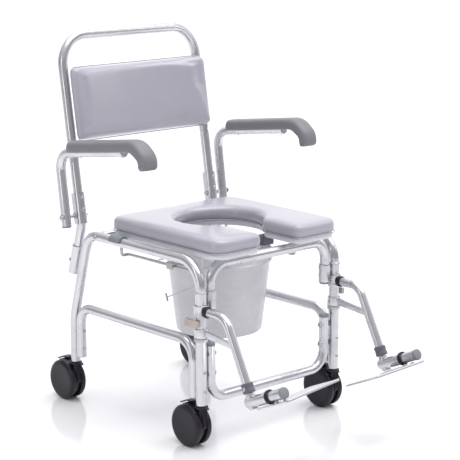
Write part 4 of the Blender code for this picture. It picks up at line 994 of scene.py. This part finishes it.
def hanger(side):
    """The bent tube with its ring on the leg, the cup at its end, the steadying arm and the clamp collar."""
    way, word = SIDES[side]
    x = way * SIDE_X
    body = f"hanger_{word}"
    corner_s = (HANGER_MARK[1] - HANGER_Z) / math.cos(HANGER_LEAN)
    tube(f"hanger_bar_{side}", [(x, FRONT_Y - 0.0275, HANGER_Z), hanger_point(corner_s, x),
                                hanger_point(0.024, x)], (0.045,), 0.011, ALUMINIUM, body,
         stands_for=[f"hanger_tube_{side}"])
    ring = [(0.0144, 0.3270), (0.0170, 0.3270), (0.0178, 0.3290), (0.0178, 0.3330), (0.0172, 0.3338),
            (0.0172, 0.3492), (0.0178, 0.3500), (0.0178, 0.3545), (0.0170, 0.3560), (0.0144, 0.3560)]
    lathe(f"clamp_ring_{side}", ring, (x, FRONT_Y, 0), (0, 0, 1), ALUMINIUM, body, ring=True, soft=0.0006,
          stands_for=[f"hanger_clamp_{side}"])
    cup = [(0.0104, 0.0165), (0.0132, 0.0165), (0.0138, 0.0185), (0.0138, 0.0262), (0.0128, 0.0285),
           (0.0104, 0.0285)]
    lathe(f"clamp_cup_{side}", cup, (x, FRONT_Y, HANGER_Z), (0, -1, 0), BLACK, body, ring=True)
    brace = [(0.0144, 0.2760), (0.0160, 0.2760), (0.0168, 0.2772), (0.0168, 0.2978), (0.0160, 0.2990),
             (0.0144, 0.2990)]
    lathe(f"brace_ring_{side}", brace, (x, FRONT_Y, 0), (0, 0, 1), ALUMINIUM, body, ring=True, soft=0.0008,
          stands_for=[f"hanger_brace_{side}"])
    near_y = FRONT_Y - 0.0150
    far = [(HANGER_MARK[0] + (z - HANGER_MARK[1]) * math.tan(HANGER_LEAN) + 0.0123, z)
           for z in (0.2700, 0.2860)]
    arm = outline_of([(near_y, 0.2785, 0), (near_y, 0.2965, 0), (far[1][0], far[1][1], 0.003),
                      (far[0][0], far[0][1], 0.003)])
    plate = slab_grid(arm, -0.0026, 0.0026, 0.0008, 3)
    plate = np.stack([x + plate[..., 2], plate[..., 0], plate[..., 1]], -1)
    object_from(f"brace_arm_{side}", [plate], ALUMINIUM, body)
    locks = [((x - way * 0.0174, FRONT_Y, z), (-way, 0, 0), 0.0034) for z in (0.3415, 0.2875)]
    fixings(f"ring_screws_{side}", locks, ZINC, body)
    collar = [(0.0116, 0.0), (0.0138, 0.0), (0.0148, 0.0014), (0.0148, 0.0075), (0.0141, 0.0082),
              (0.0141, 0.0148), (0.0148, 0.0155), (0.0148, 0.0226), (0.0138, 0.0240), (0.0116, 0.0240)]
    lathe(f"clamp_collar_{side}", collar, hanger_point(0, x), HANGER_AXIS, COLLAR, body, ring=True,
          stands_for=[f"height_collar_{side}"])
    fixings(f"collar_screw_{side}", [(hanger_point(0.0125, x) + np.array([way * 0.0142, 0, 0]), (way, 0, 0),
                                      0.0042)], ZINC, body)


print("hanger ready to make")

# %% [markdown]
# ### The sliding rod and its barrel
# The rod shows as a bright length below the collar and ends in a barrel, which is the fixed half of the
# footplate's hinge. It is longer than it looks, so that the hanger still holds it at its lowest height.

# %%
def barrel_start(side):
    """Where the barrel's line meets the sloping rod's."""
    return hanger_point(0.045, SIDES[side][0] * SIDE_X)


def rod_and_barrel(side):
    """The rod along the hanger's slope, then the barrel forward from its foot."""
    way, word = SIDES[side]
    x = way * SIDE_X
    foot = f"footrest_{word}"
    rod = [(0.0004, -0.085), (0.0082, -0.085), (0.0085, -0.084), (0.0085, 0.0262), (0.0112, 0.0262),
           (0.0115, 0.0270), (0.0115, 0.0620), (0.0106, 0.0630), (0.0004, 0.0632)]
    lathe(f"slide_rod_{side}", rod, hanger_point(0, x), HANGER_AXIS, ALUMINIUM, foot, 40, 0.0004,
          stands_for=[f"footrest_stem_{side}"])
    start = barrel_start(side)
    barrel = [(0.0004, -0.0148), (0.0128, -0.0148), (0.0139, -0.0136), (0.0139, 0.0592), (0.0132, 0.0600),
              (0.0004, 0.0600)]
    lathe(f"barrel_{side}", barrel, start, BARREL_AXIS, ALUMINIUM, foot, 40, 0.0005)


print("rod ready to make")

# %% [markdown]
# ### The footplate
# A sleeve turns on the barrel between a black ring and a grey plug, and the plate is riveted to it. The
# plate
# is drawn flat about its hinge first, then tilted with the barrel and turned to where it rests.

# %%
def laid_on_hinge(grid, side, start):
    """A grid drawn flat about the hinge, tilted with the barrel and turned to the plate's rest angle."""
    tilted = moved(grid, turn_x(-BARREL_TILT), (0, start[1], start[2]))
    return turned_about(tilted, start, -BARREL_AXIS, SIDES[side][0] * math.radians(PLATE_REST[side]))


def footplate(side):
    """Ring, sleeve and plug of the hinge, then the plate with its front lip and rivets."""
    way, word = SIDES[side]
    start = barrel_start(side)
    tread = f"footplate_{word}"
    black = [(0.0004, 0.0605), (0.0160, 0.0605), (0.0172, 0.0614), (0.0172, 0.0670), (0.0162, 0.0680),
             (0.0004, 0.0680)]
    lathe(f"hinge_ring_{side}", black, start, BARREL_AXIS, BLACK, tread, 40, 0.0005,
          stands_for=[f"foot_hinge_{side}"])
    lathe(f"hinge_sleeve_{side}", [(0.0004, 0.0670), (0.0130, 0.0670), (0.0130, 0.1100), (0.0004, 0.1100)],
          start, BARREL_AXIS, ALUMINIUM, tread, 40, 0.0004)
    lathe(f"hinge_plug_{side}", [(0.0004, 0.1095), (0.0138, 0.1095), (0.0138, 0.1158), (0.0124, 0.1178),
                                 (0.0004, 0.1182)], start, BARREL_AXIS, CAP_GREY, tread, 40, 0.0009)
    low_x, high_x = sorted((way * 0.055, way * 0.236))
    outline = rectangle(low_x, high_x, -0.127, -0.016, 0.012, 0.006)
    slabs = [slab_grid(outline, -0.0228, -0.0178, 0.0010, 3)]
    lip = rectangle(low_x + 0.004, high_x - 0.004, -0.1262, -0.1240, 0.001)
    slabs.append(slab_grid(lip, -0.0180, -0.0166, 0.0006, 2))
    object_from(f"tread_plate_{side}", [laid_on_hinge(g, side, start) for g in slabs], PLATE, tread,
                stands_for=[f"footplate_{side}"])
    stud = softened(bolt_profile(STUD_R), STUD_R * 0.09)
    studs = [turn_about(stud, (way * 0.2155, y, -0.0176), (0, 0, 1), 24) for y in (-0.074, -0.100)]
    object_from(f"tread_rivets_{side}", [laid_on_hinge(g, side, start) for g in studs], ZINC, tread)


print("footplate ready to make")

# %% [markdown]
# ### The release lever
# A beige thumb lever beside each front leg frees the hanger. Four fine ribs give it grip, and a coil spring
# returns it.

# %%
def latch(side):
    """The ribbed lever, and the coil x = r cos t, z = r sin t that runs back along it."""
    way, word = SIDES[side]
    latch_low, latch_high = sorted((way * (SIDE_X + LEG_R + 0.0012), way * (SIDE_X + LEG_R + 0.0118)))
    lever = rectangle(latch_low, latch_high, FRONT_Y - 0.014, FRONT_Y + 0.034, 0.003, 0.0045)
    grip = [slab_grid(lever, 0.3037, 0.3203, 0.0022)]
    ribs = [slab_grid(rectangle(way * 0.2498, way * 0.2513, y, y + 0.0018, 0.0006, steps=3),
                      0.3062, 0.3178, 0.0004, 2)
            for y in FRONT_Y + np.array([0.014, 0.0185, 0.023, 0.0275])]
    object_from(f"release_lever_{side}", grip + ribs, BEIGE, f"latch_{word}",
                stands_for=[f"hanger_latch_{side}"])
    coil_t = np.linspace(0, 10 * math.pi, 260)
    coil = np.stack([way * 0.2450 + 0.0024 * np.cos(coil_t), FRONT_Y + 0.004 + 0.028 * coil_t / coil_t[-1],
                     0.3234 + 0.0024 * np.sin(coil_t)], -1)
    object_from(f"latch_spring_{side}", [carry(coil, circle(0.0006, 8), (0.3, 0.9, 0.3))], ZINC,
                f"latch_{word}")


for side in SIDES:
    hanger(side)
    rod_and_barrel(side)
    footplate(side)
    latch(side)
print("footrests ready")

# %% [markdown]
# ## Castors
# Twin-wheel castors: smooth dished discs outside, a web between them that carries the axle and the stem,
# a mudguard over the top and a brake pedal. The wheels are one turned profile, the guard and pedal are
# strips carried along an arc, and the stem housing has shallow ribs like the real moulding.

# %%
WHEEL = [(0.0004, 0.0230), (0.0150, 0.0233), (0.0340, 0.0240), (0.0420, 0.0242), (0.0466, 0.0232),
         (0.0490, 0.0216), (0.0512, 0.0196), (0.0520, 0.0176), (0.0520, 0.0122), (0.0512, 0.0100),
         (0.0490, 0.0084), (0.0440, 0.0080), (0.0090, 0.0080), (0.0088, 0.0074)]


def strip(path, half, thick, name, look, body, round_off=0.0007, stands_for=()):
    """A rounded strip of a width and thickness along a path in the YZ plane."""
    outline = rectangle(-half, half, -thick, thick, round_off, steps=3)
    return object_from(name, [carry(path, outline)], look, body, stands_for=stands_for)


CASTORS = {end + side: (way * SIDE_X, y, np.array([way * SIDE_X, y + TRAIL, WHEEL_R]), f"{place}_{word}")
           for end, y, place in (("F", FRONT_Y, "front"), ("R", REAR_Y, "rear"))
           for side, (way, word) in SIDES.items()}
GUARD_ARC = (85, 134)  # degrees of the guard's ends, from straight behind the axle


def wheel_pair(tag):
    """Two mirrored discs about the axle."""
    hub, spot = CASTORS[tag][2:]
    discs = [turn_about(softened(WHEEL, 0.0012), hub, (turn, 0, 0), 72) for turn in (1, -1)]
    object_from(f"wheel_pair_{tag}", discs, TREAD, f"wheels_{spot}", stands_for=[f"castor_wheels_{tag}"])


def castor_body(tag):
    """The stem housing with its ribs, and the web between the wheels."""
    x, y, hub, spot = CASTORS[tag]
    swivel = f"castor_{spot}"
    web = turn_about(softened([(0.0096, -0.0065), (0.0432, -0.0065), (0.0440, -0.0055), (0.0440, 0.0055),
                               (0.0432, 0.0065), (0.0096, 0.0065)], 0.0005), hub, (1, 0, 0), 64)
    stem = turn_about(softened([(0.0004, 0.0560), (0.0090, 0.0560), (0.0100, 0.0600), (0.0100, 0.0985),
                                (0.0158, 0.1000), (0.0165, 0.1012), (0.0165, 0.1052), (0.0156, 0.1065),
                                (0.0004, 0.1068)], 0.0008), (x, y, 0), (0, 0, 1), 40)
    nose = slab_grid(rectangle(x - 0.0065, x + 0.0065, y - 0.0135, y + 0.0300, 0.0028, 0.001),
                     0.0500, 0.1020, 0.0015)
    ribs = [slab_grid(rectangle(at - 0.0009, at + 0.0009, y - 0.0150, y - 0.0080, 0.0006, steps=3),
                      0.0560, 0.1000, 0.0005, 2) for at in (x - 0.0045, x, x + 0.0045)]
    cap = softened([(0.0004, 0.1060), (0.0110, 0.1060), (0.0110, 0.1072), (0.0004, 0.1074)], 0.0003)
    post = turn_about(cap, (x, y, 0), (0, 0, 1), 32)
    object_from(f"castor_body_{tag}", [stem, nose, post] + ribs, BLACK, swivel,
                stands_for=[f"castor_housing_{tag}"])
    object_from(f"castor_web_{tag}", [web], BLACK, swivel, close_rows=True)


def castor_top(tag):
    """The guard is an arc about the axle, and the pedal a bent strip above it."""
    x, y, hub, spot = CASTORS[tag]
    swivel = f"castor_{spot}"
    a = np.radians(np.linspace(*GUARD_ARC, 28))[:, None]
    guard = hub + 0.0555 * (np.cos(a) * [0, 1, 0] + np.sin(a) * [0, 0, 1])
    strip(guard, 0.0235, 0.0012, f"castor_guard_{tag}", BLACK, swivel)
    fin = rectangle(x - 0.0065, x + 0.0065, y + 0.030, y + 0.040, 0.001)
    rib = slab_grid(fin, 0.087, 0.1078, 0.0008)
    object_from(f"castor_rib_{tag}", [rib], BLACK, swivel)
    pedal = rounded_path([(x, y + 0.0245, 0.11255), (x, y + 0.042, 0.11255), (x, y + 0.0655, 0.1025)],
                         [0.012])
    strip(pedal, 0.0100, 0.00175, f"brake_pedal_{tag}", BLACK, f"brake_{spot}",
          stands_for=[f"castor_brake_{tag}"])


for tag in CASTORS:
    wheel_pair(tag)
    castor_body(tag)
    castor_top(tag)
print("castors ready")

# %% [markdown]
# ## Studio
# A plain pale floor with a soft sheen, a large softbox overhead, a key from the right and a narrow strip
# from the left. The backdrop is lit brightest ahead of the lens. The lens is long, so verticals stay
# nearly parallel.

# %%
floor_look = Finish("studio_floor", Specular_IOR_Level=0.5)
spread = floor_look.node("ShaderNodeTexCoord", out=3)
mottle = floor_look.noise(spread, 3.0, 2.0)
sheet = floor_look.blend(mottle, (0.83, 0.83, 0.842), (0.86, 0.86, 0.87))
FLOOR = floor_look.wire(sheet, mottle * 0.04 + 0.07)
floor_mesh = bpy.data.meshes.new("floor")
floor_mesh.from_pydata([(-30, -30, 0), (30, -30, 0), (30, 30, 0), (-30, 30, 0)], [], [(0, 1, 2, 3)])
floor_mesh.materials.append(FLOOR)
floor = bpy.data.objects.new("floor", floor_mesh)
bpy.context.collection.objects.link(floor)
print("floor ready")

# %% [markdown]
# ### Backdrop
# The surround is brightest ahead of the lens and overhead, so that the tubes show a bright side and a
# dull one.

# %%
world = bpy.data.worlds.new("studio")
world.use_nodes = True
sky = world.node_tree
heading = Value(sky, sky.nodes.new("ShaderNodeTexCoord").outputs["Generated"])
split = sky.nodes.new("ShaderNodeSeparateXYZ")
sky.links.new(heading.socket, split.inputs[0])
east, north, height = (Value(sky, socket) for socket in split.outputs)
ahead_of_lens = (east * 0.67 + north * 0.74).clipped(0.15, 0.80)
overhead = height.clipped(0.15, 0.85)
glow = (ahead_of_lens * 0.90 + overhead * 0.45 + 0.33).math("MINIMUM", 1.25)
sky.links.new(glow.socket, sky.nodes["Background"].inputs["Strength"])
sky.nodes["Background"].inputs["Color"].default_value = (0.97, 0.97, 1.0, 1.0)
bpy.context.scene.world = world
print("backdrop ready")

# %% [markdown]
# ### Lamps
# A broad soft sun stands for the ceiling. Three rectangular boxes give the vinyl and the tubes their
# highlights.

# %%
sun_data = bpy.data.lights.new("ceiling", "SUN")
sun_data.energy = 2.3
sun_data.angle = math.radians(60)
sun = bpy.data.objects.new("ceiling", sun_data)
bpy.context.collection.objects.link(sun)
sun.rotation_euler = (math.radians(12), math.radians(10), 0)


def softbox(name, place, aim, size, watts):
    """A rectangular area light at a place, facing a point."""
    data = bpy.data.lights.new(name, "AREA")
    data.shape = "RECTANGLE"
    data.size, data.size_y = size
    data.energy = watts
    lamp = bpy.data.objects.new(name, data)
    bpy.context.collection.objects.link(lamp)
    lamp.location = place
    lamp.rotation_euler = (Vector(place) - Vector(aim)).to_track_quat("Z", "Y").to_euler()
    return lamp


softbox("overhead", (0.2, 0.3, 2.9), (0, 0, 0.3), (2.4, 2.0), 5)
softbox("key_right", (2.2, -1.5, 1.9), (0, 0, 0.5), (0.5, 1.6), 6)
softbox("strip_left", (-2.6, -0.3, 1.2), (0, 0, 0.6), (0.35, 2.0), 7)
print("lamps ready")

# %% [markdown]
# ### Camera
# It stands ahead and to the occupant's right, about 1.4 m up and 4 m away, with a long lens.

# %%
AZIMUTH, ELEVATION, DISTANCE = math.radians(-42.21), math.radians(12.33), 4.2
AIM = np.array([0.050, -0.059 + ORIGIN_Y, 0.464])
back_to_camera = np.array([math.sin(AZIMUTH) * math.cos(ELEVATION), -math.cos(AZIMUTH) * math.cos(ELEVATION),
                           math.sin(ELEVATION)])
lens = bpy.data.cameras.new("camera")
lens.sensor_width = 36
lens.lens = 129.17
lens.dof.use_dof = False
camera = bpy.data.objects.new("camera", lens)
bpy.context.collection.objects.link(camera)
camera.location = AIM + DISTANCE * back_to_camera
camera.rotation_euler = Vector(back_to_camera).to_track_quat("Z", "Y").to_euler()
bpy.context.scene.camera = camera
bpy.context.scene.view_settings.view_transform = "Standard"

# %%
bpy.context.view_layer.update()
